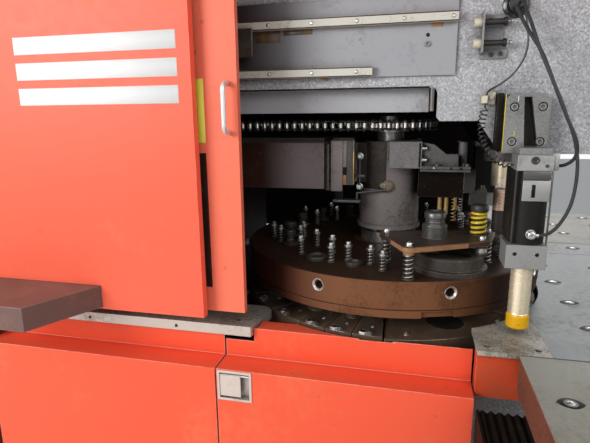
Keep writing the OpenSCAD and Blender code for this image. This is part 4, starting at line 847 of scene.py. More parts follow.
    rust = Finish(
        "orange_rust", Look((0.42, 0.19, 0.07), (0.25, 0.1, 0.04), 0.5), Grain.CAST, 240, 0.00015,
        cloud=30.0, stain=0.5, wear=0.3, dirt_and_shade=0.5
    )
    # Painted shade: flat black plates, discs and heads that stand for the dark inside of holes, bores,
    # slots and recesses.
    black = Finish(
        "painted_recess_shade", Look((0.012, 0.011, 0.01), (0.03, 0.026, 0.022), 0.45), Grain.CAST, 240, 0.0001,
        cloud=20.0, stain=0.5, wear=0.5, dirt_and_shade=0.5, specular=0.1
    )
    corroded = Finish(
        "corroded_fitting", Look((0.24, 0.19, 0.13), (0.12, 0.085, 0.05), 0.45, 0.3), Grain.CAST, 300,
        0.0003, cloud=60.0, stain=0.5, wear=0.6, dirt_and_shade=0.6, specks=0.9, speck_colour=(0.4, 0.36, 0.28)
    )
    grease = Finish(
        "dark_grease", Look((0.07, 0.045, 0.022), (0.16, 0.09, 0.03), 0.3), Grain.CAST, 240, 0.0002,
        cloud=30.0, stain=0.5, wear=0.0, dirt_and_shade=0.3
    )
    steel = Finish(
        "grey_steel", Look((0.26, 0.26, 0.265), (0.17, 0.17, 0.172), 0.4, 0.3), Grain.CAST, 240, 0.0001,
        cloud=14.0, stain=0.5, wear=0.8, edge=0.0012, dirt_and_shade=0.7, specks=0.4, speck_colour=(0.06, 0.05, 0.04)
    )
    drive = Finish(
        "drive_iron", Look((0.24, 0.225, 0.225), (0.17, 0.155, 0.155), 0.44, 0.15), Grain.CAST, 260,
        0.00025, cloud=8.0, stain=0.5, wear=0.8,
        wear_look=Look((0.5, 0.48, 0.45), (0.34, 0.31, 0.27), 0.36, 0.7), dirt_and_shade=0.8, specks=0.6,
        speck_colour=PALE_SPECK, specular=0.08, grain_shading=0.5,
        zones=(
            Zone(
                (-97.5, -INF, 1315.2), (INF, INF, INF),
                Look((0.17, 0.16, 0.158), (0.12, 0.11, 0.108), 0.44, 0.15)
            ),
            Zone(
                (-101, -INF, 1298.6), (INF, INF, 1315.6),
                Look((0.16, 0.15, 0.145), (0.1, 0.09, 0.085), 0.42, 0.2)
            ),
            band("Z", -INF, 1299, Look((0.008, 0.004, 0.002), (0.02, 0.013, 0.009), 0.55, 0.0)),
            Zone(
                (35.5, -INF, -INF), (INF, INF, 1299),
                Look((0.055, 0.052, 0.05), (0.035, 0.033, 0.031), 0.45)
            ),
            Zone((-INF, -INF, -INF), (30, -85, 1210.7), BRASS)
        )
    )
    dies = Finish(
        "die_steel", Look((0.085, 0.055, 0.036), (0.13, 0.085, 0.055), 0.42), Grain.TURNED, 500, 0.00006,
        cloud=10.0, stain=0.5, wear=1.0, wear_look=Look((0.6, 0.55, 0.48), (0.4, 0.32, 0.25), 0.3, 0.8),
        edge=0.0022, dirt_and_shade=0.6, specks=0.7, speck_colour=(0.25, 0.2, 0.15), specular=0.12
    )


WORN_BY: dict[str, Finish] = {
    "main_frame": Shop.frame, "base_frame": Shop.base, "levelling_feet": Shop.bright,
    "track_plate": Shop.track, "door_rails": Shop.rail, "bumper_bracket": Shop.steel,
    "door_bumpers": Shop.bumper, "front_side_panel": Shop.guard, "rear_housing": Shop.far_guard,
    "roof_cover": Shop.guard, "tool_shelf": Shop.shelf, "deck_plate": Shop.deck,
    "sliding_door": Shop.door_guard, "door_window": Shop.pane, "door_handle": Shop.handle,
    "door_hangers": Shop.dark, "left_cover": Shop.lower_guard, "right_cover": Shop.lower_guard,
    "latch_dish": Shop.dish, "latch_paddle": Shop.dish, "recess_panel": Shop.recess,
    "way_covers": Shop.bellows, "table_insert": Shop.insert, "centre_table": Shop.table,
    "table_stand": Shop.stand, "y_ball_screw": Shop.bright, "drive_motors": Shop.motor,
    "ball_transfers": Shop.balls, "side_tables": Shop.side_table, "carriage_beam": Shop.beam,
    "x_carriage": Shop.cast, "clamp_jaw_front": Shop.dark, "clamp_jaw_rear": Shop.dark,
    "upper_turret": Shop.rim, "turret_shaft": Shop.turned, "punch_holders": Shop.dark,
    "lifter_springs": Shop.dark, "station_ring": Shop.dark, "station_plate": Shop.rusty_plate,
    "stripper_spring": Shop.yellow, "lower_turret": Shop.cast, "die_holders": Shop.dies,
    "hub_housing": Shop.hub, "support_arm": Shop.arm, "index_drive": Shop.drive, "ram_cylinder": Shop.cast,
    "ram": Shop.ram_bar, "cylinder_barrels": Shop.barrel, "cylinder_blocks": Shop.milled,
    "cylinder_brackets": Shop.bracket, "front_hold_down": Shop.hold_bar, "rear_hold_down": Shop.hold_bar,
    "index_pins": Shop.bright, "turret_chains": Shop.chain, "drive_shaft": Shop.turned,
    "cable_fittings": Shop.cream
}


# Mesh making


class Shape:
    """A piece under construction, drawn in millimetres and kept in metres."""

    def __init__(self, name: str, finish: Finish) -> None:
        """Starts an empty piece.

        Args:
            name: Name of the piece.
            finish: Finish of what is drawn first.
        """
        self.name = name
        self.mesh = bmesh.new()
        self.finishes = [finish]
        self.current = 0

    def take(self, finish: Finish) -> "Shape":
        """Draws with another finish from here on."""
        if finish not in self.finishes:
            self.finishes.append(finish)
        self.current = self.finishes.index(finish)
        return self

    def _paint(self, faces: Iterable[bmesh.types.BMFace]) -> None:
        """Gives new faces the current finish."""
        for face in faces:
            face.material_index = self.current

    def block(self, low: Point, high: Point, round_off: float = 0.8) -> None:
        """Adds a box with rounded edges.

        Args:
            low: Lowest corner.
            high: Highest corner.
            round_off: Radius of the edges.
        """
        size = [abs(b - a) for a, b in zip(low, high)]
        centre = [(a + b) / 2 for a, b in zip(low, high)]
        matrix = Matrix.Translation(metres(centre)) @ Matrix.Diagonal((*[s * MM for s in size], 1.0))
        made = bmesh.ops.create_cube(self.mesh, size=1.0, matrix=matrix)["verts"]
        faces = {f for v in made for f in v.link_faces}
        self._paint(faces)
        if round_off > 0:
            edges = {e for v in made for e in v.link_edges}
            cut = bmesh.ops.bevel(
                self.mesh, geom=list(edges), offset=min(round_off, min(size) * 0.4) * MM, segments=2,
                profile=0.5, affect="EDGES",
            )
            faces = {f for f in faces if f.is_valid} | set(cut["faces"])
        self._paint(faces)

    def rings(self, rings: Sequence[Sequence[Vector]], closed: bool = False) -> None:
        """Skins a row of rings of points, and closes a ring row's two ends unless it is closed.

        Args:
            rings: Rings with the same number of points, in metres.
            closed: Whether the last ring joins the first.
        """
        rows = [[self.mesh.verts.new(p) for p in ring] for ring in rings]
        faces = []
        count = len(rows)
        for i in range(count if closed else count - 1):
            a, b = rows[i], rows[(i + 1) % count]
            for k in range(len(a)):
                n = (k + 1) % len(a)
                faces.append(self.mesh.faces.new((a[k], a[n], b[n], b[k])))
        if not closed:
            faces.append(self.mesh.faces.new(list(reversed(rows[0]))))
            faces.append(self.mesh.faces.new(rows[-1]))
        self._paint(faces)

    def lathe(
        self,
        at: Point,
        axis: Point,
        profile: Sequence[tuple[float, float]],
        sides: int = 24,
        closed: bool = False,
    ) -> None:
        """Turns a profile round an axis.

        Args:
            at: Start of the axis.
            axis: Direction of the axis.
            profile: Radius and height of each step; the ends are closed.
            sides: Faces round the axis.
            closed: Whether the profile joins its own start, as a ring does.
        """
        turn = Vector(UP).rotation_difference(Vector(axis).normalized()).to_matrix()
        rows = []
        for radius, height in profile:
            row = []
            for k in range(sides):
                a = 2 * math.pi * k / sides
                row.append(
                    metres(at)
                    + turn
                    @ (Vector((math.cos(a) * max(radius, 0.01), math.sin(a) * max(radius, 0.01), height))
                       * MM)
                )
            rows.append(row)
        self.rings(rows, closed)

    def rod(self, start: Point, end: Point, radius: float, sides: int = 20, round_off: float = 0.6) -> None:
        """Adds a round bar with chamfered ends.

        Args:
            start: Middle of one end.
            end: Middle of the other end.
            radius: Radius of the bar.
            sides: Faces round the bar.
            round_off: Size of the chamfers.
        """
        way = Vector(end) - Vector(start)
        long = way.length
        c = min(round_off, radius * 0.4, long * 0.3)
        self.lathe(
            start, way, [(radius - c, 0), (radius, c), (radius, long - c), (radius - c, long)], sides
        )

    def socket_screw(self, at: Point, axis: Point, radius: float, height: float) -> None:
        """Adds a socket-head screw.

        Args:
            at: Middle of its foot, on the face.
            axis: Direction of the screw.
            radius: Radius of the head.
            height: Height of the head.
        """
        self.lathe(
            at, axis,
            [
                (radius, 0), (radius, height * 0.88), (radius * 0.9, height), (radius * 0.55, height),
                (radius * 0.5, height * 0.5), (0, height * 0.45)
            ],
            24
        )

    def hex_bolt(self, at: Point, axis: Point, radius: float, height: float) -> None:
        """Adds a hexagon bolt head on its washer.

        Args:
            at: Middle of the washer's foot.
            axis: Direction of the bolt.
            radius: Half the head's width over its corners.
            height: Height of the head and the washer.
        """
        self.lathe(
            at, axis,
            [
                (radius * 1.35, 0), (radius * 1.35, height * 0.18), (radius * 1.2, height * 0.22),
                (0, height * 0.22)
            ],
            24
        )
        way = Vector(axis).normalized() * height * 0.2
        self.lathe(
            Vector(at) + way, axis,
            [(radius, 0), (radius, height * 0.62), (radius * 0.82, height * 0.8), (0, height * 0.8)], 6
        )

    def tube(self, path: Sequence[Vector], radius: float, sides: int = 10) -> None:
        """Sweeps a round section along a path.

        Args:
            path: Points in metres.
            radius: Radius in millimetres.
            sides: Faces round the section.
        """
        rows = []
        for here, (side, up) in zip(path, frames_along(path)):
            rows.append(
                [
                    here
                    + (side * math.cos(2 * math.pi * k / sides) + up * math.sin(2 * math.pi * k / sides))
                    * radius
                    * MM
                    for k in range(sides)
                ]
            )
        self.rings(rows)

    def coil(
        self, foot: Point, radius: float, wire: float, rise: float, turns: float, step: int = 14
    ) -> None:
        """Winds an upright coil spring.

        Args:
            foot: Centre of its lower end.
            radius: Radius of the wire's centre line.
            wire: Radius of the wire.
            rise: Height of the wire's centre line from start to end.
            turns: Number of turns, with flat first and last half turns.
            step: Points in a turn.
        """
        count = int(turns * step)
        path = []
        for i in range(count + 1):
            t = i / count
            a = 2 * math.pi * turns * t
            lift = min(max((t * turns - 0.5) / (turns - 1.0), 0.0), 1.0) * rise
            path.append(
                metres(
                    (foot[0] + radius * math.cos(a), foot[1] + radius * math.sin(a), foot[2] + wire + lift)
                )
            )
        self.tube(path, wire, 8)

    def plate(
        self, outline: Sequence[tuple[float, float]], z0: float, z1: float, round_off: float = 1.0
    ) -> None:
        """Adds an upright plate from an outline in X and Y.

        Args:
            outline: Corners in order.
            z0: Lower face.
            z1: Upper face.
            round_off: Radius of the edges.
        """
        lower = [self.mesh.verts.new(metres((x, y, z0))) for x, y in outline]
        upper = [self.mesh.verts.new(metres((x, y, z1))) for x, y in outline]
        count = len(outline)
        faces = [self.mesh.faces.new(list(reversed(lower))), self.mesh.faces.new(upper)]
        for i in range(count):
            n = (i + 1) % count
            faces.append(self.mesh.faces.new((lower[i], lower[n], upper[n], upper[i])))
        self._paint(faces)
        edges = {e for f in faces for e in f.edges}
        cut = bmesh.ops.bevel(
            self.mesh, geom=list(edges), offset=round_off * MM, segments=2, profile=0.5, affect="EDGES"
        )
        self._paint({f for f in faces if f.is_valid} | set(cut["faces"]))

    def finish(self, body: str, slot: str, stands_for: Sequence[str] = ()) -> bpy.types.Object:
        """Turns the drawing into a piece that rides on a body.

        Args:
            body: The CAD body.
            slot: The record's material slot; not used.
            stands_for: CAD nodes that the piece replaces.

        Returns:
            The piece.
        """
        bmesh.ops.recalc_face_normals(self.mesh, faces=self.mesh.faces)
        for face in self.mesh.faces:
            face.smooth = True
        for edge in self.mesh.edges:
            edge.smooth = not (edge.is_manifold and edge.calc_face_angle(0.0) > math.radians(40))
        data = bpy.data.meshes.new(self.name)
        self.mesh.to_mesh(data)
        self.mesh.free()
        for finish in self.finishes:
            data.materials.append(finish.make())
        piece = bpy.data.objects.new(self.name, data)
        bpy.context.scene.collection.objects.link(piece)
        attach(piece, body)
        if stands_for:
            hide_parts(*stands_for)
        log.info("%s rides on %s: %d faces", self.name, body, len(data.polygons))
        return piece


def frames_along(path: Sequence[Vector]) -> list[tuple[Vector, Vector]]:
    """Carries a pair of side directions along a path without twist.

    Args:
        path: Points in metres.

    Returns:
        Two unit vectors across the path for each point.
    """
    count = len(path)
    found: list[tuple[Vector, Vector]] = []
    side: Vector | None = None
    for i in range(count):
        ahead = (path[min(i + 1, count - 1)] - path[max(i - 1, 0)]).normalized()
        if side is None:
            side = ahead.orthogonal().normalized()
        side = (side - ahead * side.dot(ahead)).normalized()
        found.append((side, ahead.cross(side)))
    return found


def smooth_path(points: Sequence[Point], between: int = 6) -> list[Vector]:
    """Draws a smooth line through points.

    Args:
        points: Route in millimetres.
        between: Steps from each point to the next.

    Returns:
        The line's points in metres.
    """
    p = [metres(q) for q in points]
    p = [p[0] * 2 - p[1], *p, p[-1] * 2 - p[-2]]
    line = []
    for i in range(1, len(p) - 2):
        for k in range(between):
            t = k / between
            line.append(
                0.5
                * (p[i] * 2 + (p[i + 1] - p[i - 1]) * t
                   + (p[i - 1] * 2 - p[i] * 5 + p[i + 1] * 4 - p[i + 2]) * t * t
                   + (p[i] * 3 - p[i - 1] - p[i + 1] * 3 + p[i + 2]) * t * t * t)
            )
    return [*line, p[-2]]


def length_of(path: Sequence[Vector]) -> float:
    """Returns the length of a path in metres."""
    return sum((b - a).length for a, b in zip(path, path[1:]))


def tightest(path: Sequence[Vector]) -> float:
    """Returns the smallest radius that a path bends with, in metres."""
    found = []
    for a, b, c in zip(path, path[2:], path[4:]):
        area = (b - a).cross(c - a).length
        if area > 1e-12:
            found.append((b - a).length * (c - b).length * (c - a).length / (2 * area))
    return min(found)


# Camera and cords


@dataclass
class Viewpoint:
    """The photograph's camera, solved on the machine's straight edges."""

    place: Point = (-120.0, -1727.0, 1481.0)
    turn: float = 13.707
    tilt: float = 12.549
    roll: float = 0.617
    focal: float = 488.8
    image_width: float = 590.0
    film: float = 36.0
    reach: tuple[float, float] = (0.02, 60.0)

    def build(self) -> bpy.types.Object:
        """Makes the camera and sets it as the scene's.

        Returns:
            The camera.
        """
        turn, tilt, roll = (math.radians(a) for a in (self.turn, self.tilt, self.roll))
        ahead = Vector((-math.sin(turn) * math.cos(tilt), math.cos(turn) * math.cos(tilt), -math.sin(tilt)))
        right = Vector((math.cos(turn), math.sin(turn), 0.0))
        down = ahead.cross(right)
        across = right * math.cos(roll) + down * math.sin(roll)
        below = down * math.cos(roll) - right * math.sin(roll)
        lens = bpy.data.cameras.new("photo_camera")
        lens.sensor_fit = "HORIZONTAL"
        lens.sensor_width = self.film
        lens.lens = self.focal / self.image_width * self.film
        lens.clip_start, lens.clip_end = self.reach
        camera = bpy.data.objects.new("photo_camera", lens)
        bpy.context.scene.collection.objects.link(camera)
        frame = Matrix((across, -below, -ahead)).transposed().to_4x4()
        camera.matrix_world = Matrix.Translation(metres(self.place)) @ frame
        bpy.context.scene.camera = camera
        return camera


@dataclass
class Line:
    """One hose or cable between two fixed ends.

    Attributes:
        name: Name of the piece and of the node that it replaces, without "dressed_".
        route: Its points, in millimetres, as the CAD source has them.
        radius: Radius of the tube, in millimetres.
        finish: Finish of its sheath.
        slot: The record's material slot; not used.
        stiffness: How stiff it is; not used.
        curl: Radius of its helix, in millimetres, or 0 where it is plain.
        turns: Turns of its helix.
        turn_steps: Points in a turn.
        run_in: Length at each end over which the helix grows, in metres.
        end_rate: How fast it turns at its ends, as a share of its rate between them.
    """

    name: str
    route: Sequence[Point]
    radius: float
    finish: Finish
    slot: str
    stiffness: str = "medium"
    curl: float = 0.0
    turns: int = 0
    turn_steps: int = 20
    run_in: float = 0.024
    end_rate: float = 0.36

    def centre_line(self) -> list[Vector]:
        """Returns the line's points in metres, wound into its helix where it has one."""
        plain = smooth_path(self.route)
        if self.turns == 0:
            return plain
        fine = smooth_path(self.route, 30)
        across = frames_along(fine)
        run = [0.0]
        for a, b in zip(fine, fine[1:]):
            run.append(run[-1] + (b - a).length)
        steps = self.turns * self.turn_steps
        swells, angles = [], [0.0]
        for k in range(steps + 1):
            near_end = min(1.0, min(k, steps - k) / steps * run[-1] / self.run_in)
            swells.append(near_end * near_end * (3 - 2 * near_end))
            rate = self.end_rate + (1 - self.end_rate) * max(0.0, swells[-1] * 4 - 3)
            angles.append(angles[-1] + rate)
        wound = []
        i = 0
        for k in range(steps + 1):
            here = run[-1] * k / steps
            while i < len(run) - 2 and run[i + 1] < here:
                i += 1
            t = (here - run[i]) / max(run[i + 1] - run[i], 1e-9)
            centre = fine[i].lerp(fine[i + 1], t)
            side, up = across[i]
            a = 2 * math.pi * self.turns * angles[k] / angles[steps]
            wound.append(centre + (side * math.cos(a) + up * math.sin(a)) * self.curl * MM * swells[k])
        return wound

    def build(self) -> bpy.types.Object:
        """Returns:
            The cord.
        """
        path = self.centre_line()
        curve = bpy.data.curves.new(self.name, "CURVE")
        curve.dimensions = "3D"
        curve.bevel_depth = self.radius * MM
        curve.bevel_resolution = 4
        curve.use_fill_caps = True
        spline = curve.splines.new("POLY")
        spline.points.add(len(path) - 1)
        for point, place in zip(spline.points, path):
            point.co = (*place, 1.0)
        curve.materials.append(self.finish.make())
        cord = bpy.data.objects.new("dressed_" + self.name, curve)
        bpy.context.scene.collection.objects.link(cord)
        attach(cord, "frame")
        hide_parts(self.name)
        length_of(path)
        log.info(
            "%s is %.3f m long, tightest bend %.1f mm", self.name, length_of(path), tightest(path) / MM
        )
        return cord


def cords() -> list[Line]:
    """Returns the hoses and cables between the frame's gland and the front cylinder."""
    upper = [(116, -372, 1738), (116, -385, 1737), (117, -403, 1728), (121, -421, 1706), (131, -440, 1672),
             (146, -460, 1622), (163, -476, 1577), (180, -486, 1536), (198, -490, 1496), (214, -491, 1458),
             (229, -488, 1430), (240, -481, 1406), (245, -470, 1384), (242, -458, 1366), (231, -447, 1354),
             (218, -441, 1350), (208, -440, 1350)]
    lower = [(102, -372, 1726), (102, -384, 1725), (104, -398, 1717), (109, -411, 1700), (120, -423, 1675),
             (138, -435, 1643), (156, -448, 1610), (171, -457, 1574), (200, -465, 1503), (232, -467, 1432),
             (247, -467, 1379), (251, -468, 1340), (250, -470, 1302), (245, -473, 1268), (236, -476, 1241),
             (224, -479, 1218), (211, -481, 1201), (196, -482, 1190), (178, -482, 1186)]
    cable = [(119, -372, 1723), (119, -380, 1723), (121, -389, 1715), (126, -394, 1697), (131, -396, 1670),
             (134, -396, 1640), (131, -393, 1612), (122, -388, 1589), (108, -383, 1568), (92, -378, 1553),
             (75, -373, 1541), (61, -370, 1533), (54, -369, 1526), (52, -369, 1521), (52, -369, 1516)]
    curly = [(52, -369, 1501), (52, -369, 1492), (49, -372, 1476), (44, -378, 1456), (43, -384, 1436),
             (46, -391, 1415), (54, -398, 1394), (66, -406, 1376), (80, -414, 1362), (94, -422, 1354),
             (104, -428, 1350), (111, -430, 1350), (120, -430, 1350)]
    return [
        Line("air_hose_upper", upper, 4.0, Shop.hose, "grey_hose"),
        Line("air_hose_lower", lower, 4.0, Shop.hose, "grey_hose"),
        Line("sensor_cable", cable, 2.5, Shop.rubber, "black_rubber", "limp"),
        Line("curly_cord", curly, 1.75, Shop.rubber, "black_rubber", "limp", 8.4, 16),
    ]


# Sub-assemblies


@dataclass
class Guards:
    """Plain stripes of the fixed guard and the plain patch on the door."""

    panel_y: float = -578.0
    door_y: float = -540.0
    stripes: tuple[tuple[float, float], ...] = ((1507, 1551), (1572, 1616), (1637, 1681))
    stripe_x: tuple[float, float] = (-1162, -694)

    def build(self) -> None:
        """Lays the stripes and the patch on their sheets."""
        stripes = Shape("panel_stripes", Shop.stripe)
        for low, high in self.stripes:
            stripes.block(
                (self.stripe_x[0], self.panel_y - 0.4, low), (self.stripe_x[1], self.panel_y + 0.1, high),
                0.15
            )
        stripes.finish("frame", "coral_paint")
        patch = Shape("door_patch", Shop.patch)
        patch.block((-671, self.door_y - 0.4, 1407), (-644, self.door_y + 0.1, 1567), 0.15)
        patch.finish("door", "coral_paint")


@dataclass
class TurretTooling:
    """Springs and screws that stand on the upper turret."""

    top: float = 1047.0
    boss_z: float = 1097.0
    plate_z: float = 1124.0
    thick: float = 14.0
    near: tuple[tuple[float, float], ...] = (
        (406, -166), (386, -157), (320, -154), (380, -132), (377, -113), (340, -107), (351, -95),
        (401, -89), (300, -165), (290, -140), (300, -122)
    )
    posts: tuple[Point, ...] = ((-123, -460, 1047), (70, -356, 1097), (-189, -318, 1047), (96, -262, 1047))

    def lifters(self) -> None:
        """Builds the small lifter springs with their bolts."""
        far = [(r, a + d) for a in range(-30, 151, 20) for r, d in ((400, 0), (318, 4))]
        shape = Shape("lifter_set", Shop.dark)
        for radius, azimuth in [*self.near, *far]:
            foot = at_azimuth(radius, azimuth, self.top)
            shape.take(Shop.dark)
            shape.lathe(foot, UP, [(12, 0), (12, 2.4), (11, 3), (6, 3), (6, 44), (0, 44)])
            shape.take(Shop.turned).coil((foot[0], foot[1], foot[2] + 3.2), 8.6, 1.3, 37, 5)
            shape.lathe(
                (foot[0], foot[1], foot[2] + 44), UP,
                [(11.8, 0), (12.5, 0.8), (12.5, 4.2), (11.8, 5), (0, 5)]
            )
            shape.take(Shop.bright)
            shape.lathe((foot[0], foot[1], foot[2] + 49), UP, [(7, 0), (7, 8), (6, 10), (0, 10)], 6)
        shape.finish("upper_turret", "dark_steel", ["lifter_springs"])

    @staticmethod
    def outward(edge: Vector, away: Vector) -> float:
        """Finds which way an edge of the plate faces.

        Args:
            edge: The edge's direction.
            away: Rough direction away from the plate's middle.

        Returns:
            The angle of the edge's outward normal, in radians.
        """
        angle = math.atan2(*edge.orthogonal().yx)
        if Vector((math.cos(angle), math.sin(angle))).dot(away) < 0:
            angle += math.pi
        return angle

    def carrier(self) -> None:
        """Builds the spring-borne plate with its tall striking head."""
        over = self.plate_z + self.thick
        p = [Vector(q[:2]) for q in self.posts]
        order = [p[i] for i in (2, 0, 1, 3)]
        centre = sum(order, Vector((0, 0))) / 4
        outline: list[tuple[float, float]] = []
        for i, here in enumerate(order):
            before, after = order[i - 1], order[(i + 1) % 4]
            a0, a1 = (self.outward(edge, here - centre) for edge in (here - before, after - here))
            while a1 - a0 > math.pi:
                a1 -= 2 * math.pi
            while a1 - a0 < -math.pi:
                a1 += 2 * math.pi
            for k in range(6):
                a = a0 + (a1 - a0) * k / 5
                outline.append((here.x + 20 * math.cos(a), here.y + 20 * math.sin(a)))
        shape = Shape("stripper_carrier", Shop.rusty_plate)
        shape.plate(outline, self.plate_z, over, 1.2)
        for x, y, z in self.posts:
            rise = self.plate_z - z
            shape.take(Shop.dark).lathe(
                (x, y, z), UP, [(17, 0), (17, 3.4), (16, 4), (9, 4), (9, rise - 3), (0, rise - 3)]
            )
            shape.take(Shop.turned).coil((x, y, z + 4), 12.4, 1.9, rise - 13, 6.5)
            shape.take(Shop.rusty_plate).lathe(
                (x, y, self.plate_z - 9), UP, [(13, 0), (15, 1), (15, 9), (0, 9)]
            )
            shape.take(Shop.bright).socket_screw((x, y, over), UP, 9, 10)
        x, y = TURRET_X + 144, -345
        rise = over - self.boss_z
        shape.take(Shop.dark).lathe((x, y, self.boss_z), UP, [(26, 0), (26, rise), (0, rise)], 40)
        shape.take(Shop.head).lathe(
            (x, y, over), UP,
            [
                (32.5, 0), (33.5, 1), (33.5, 34.5), (32, 36), (30.5, 37), (30.5, 38.2), (25, 39), (25, 43),
                (26.5, 43.6), (26.5, 45), (25, 45.6), (25, 54), (28, 55), (29, 56), (29, 68.5), (28, 70),
                (26, 72.4), (25, 73), (15, 73), (13.5, 70.5), (0, 70)
            ],
            48
        )
        # Painted shade: three black discs stand for the dark holes in the striking head.
        shape.take(Shop.black)
        for a, rise in ((-88, 27), (-44, 31), (-150, 31)):
            out = Vector((math.cos(math.radians(a)), math.sin(math.radians(a)), 0.0))
            foot = Vector((x, y, self.plate_z + rise)) + out * 33.2
            shape.lathe(foot, out, [(2.6, 0), (2.6, 0.5), (1.6, 0.4), (0, -0.4)], 14)
        shape.finish("upper_turret", "plate_rust", ["station_plate"])

    def yellow_spring(self) -> None:
        """Builds the yellow spring with its dark cap."""
        x, y, z = TURRET_X + 265, -300, self.plate_z + self.thick
        shape = Shape("yellow_spring", Shop.dark)
        shape.lathe(
            (x, y, z), UP,
            [
                (23, 0), (23, 3), (12, 3.4), (12, 66), (20, 67), (23.4, 69), (24, 71), (24, 82), (21, 87),
                (14, 88), (0, 88)
            ],
            32
        )
        shape.take(Shop.yellow).coil((x, y, z + 3), 18.2, 4.2, 56, 5, 20)
        shape.finish("upper_turret", "yellow_paint", ["stripper_spring"])

    def build(self) -> None:
        """Builds all of the turret's springs."""
        self.lifters()
        self.carrier()
        self.yellow_spring()


@dataclass
class Bellows:
    """Pleated covers over the two ways."""

    way_y: float = 640.0
    x0: float = 60.0
    x1: float = 1300.0
    pleat: float = 20.0
    low: float = 640.0
    high: float = 763.0
    half: float = 72.0
    travel: float = 830.0

    def build(self) -> None:
        """Builds one pleated cover over each way."""
        count = round((self.x1 - self.x0) / self.pleat)
        for side, name in ((-1, "front_bellows"), (1, "rear_bellows")):
            shape = Shape(name, Shop.bellows)
            rows = []
            for wall in (0.0, 2.0):
                line = []
                for i in range(2 * count + 1):
                    x = self.x0 + (self.x1 - self.x0) * i / (2 * count)
                    d = (1.0 if i % 2 else 6.0) + wall
                    y, h = self.half - d, self.high - d
                    section = [
                        (-y, self.low), (-y, h - 10), (-y + 3, h - 3), (-y + 10, h), (y - 10, h),
                        (y - 3, h - 3), (y, h - 10), (y, self.low)
                    ]
                    line.append([metres((x, side * self.way_y + p, q)) for p, q in section])
                rows.append(line)
            for outer, inner in zip(*rows):
                outer.extend(reversed(inner))
            shape.rings(rows[0])
            piece = shape.finish("frame", "bellows_cloth", ["way_covers"] if side < 0 else ())
            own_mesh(piece)


@dataclass
class Fittings:
    """Cable gland, clip and hose tails."""

    def build(self) -> None:
        """Builds the fittings at both ends of the hoses."""
        shape = Shape("hose_fittings", Shop.rubber)
        gland = (108, -350, 1733)
        shape.lathe(
            gland, FRONT,
            [
                (31, 0), (31, 3), (29.5, 4.5), (24, 5), (22.5, 6), (21, 8), (22.5, 10), (21, 12),
                (22.5, 14), (21, 16), (22, 18), (19, 21.5), (0, 22)
            ],
            32
        )
        shape.take(Shop.cream)
        shape.block((41, -378, 1499), (55, -350, 1518), 1.2)
        shape.block((58, -359, 1496), (76, -350, 1527), 1.2)
        shape.take(Shop.bright).socket_screw((67, -359, 1512), FRONT, 5, 3)
        shape.lathe(
            (200, -440, 1350), RIGHT, [(8, 0), (8, 5), (7, 6), (5.6, 6), (5.6, 8.5), (0, 8.5)], 6
        )
        shape.lathe(
            (163, -471.9, 1186), FRONT,
            [
                (12, 0), (12, 2), (8, 2.4), (8, 5.5), (9.4, 6), (9.4, 15.6), (8, 16.5), (6.4, 16.8),
                (6.4, 20), (4, 20), (3.5, 17.5), (0, 17)
            ],
            28
        )
        shape.rod((171, -482, 1186), (179, -482, 1186), 5.2)
        shape.finish("frame", "black_rubber", ["cable_fittings"])


Row = tuple


@dataclass(frozen=True)
class Detail:
    """A piece made of plain solids, each given as a row that starts with its finish.

    Attributes:
        name: Name of the piece.
        body: Body that it rides on.
        slot: The record's material slot.
        blocks: Low corner, high corner and round-off.
        rods: Start, end and radius.
        screws: Foot, axis, radius and height of socket screws.
        bolts: Foot, axis, radius and height of hexagon bolts.
        turned: Foot, axis and profile of round parts.
        coils: Foot, radius, wire radius, rise and turns of springs.
    """

    name: str
    body: str
    slot: str
    blocks: tuple[Row, ...] = ()
    rods: tuple[Row, ...] = ()
    screws: tuple[Row, ...] = ()
    bolts: tuple[Row, ...] = ()
    turned: tuple[Row, ...] = ()
    coils: tuple[Row, ...] = ()

    def build(self) -> None:
        """Draws every row."""
        rows = [*self.blocks, *self.rods, *self.screws, *self.bolts, *self.turned, *self.coils]
        shape = Shape(self.name, rows[0][0])
        drawn = (
            (self.blocks, shape.block), (self.rods, shape.rod), (self.screws, shape.socket_screw),
            (self.bolts, shape.hex_bolt), (self.turned, shape.lathe), (self.coils, shape.coil)
        )
        for group, draw in drawn:
            for finish, *figures in group:
                shape.take(finish)
                draw(*figures)
        shape.finish(self.body, self.slot)


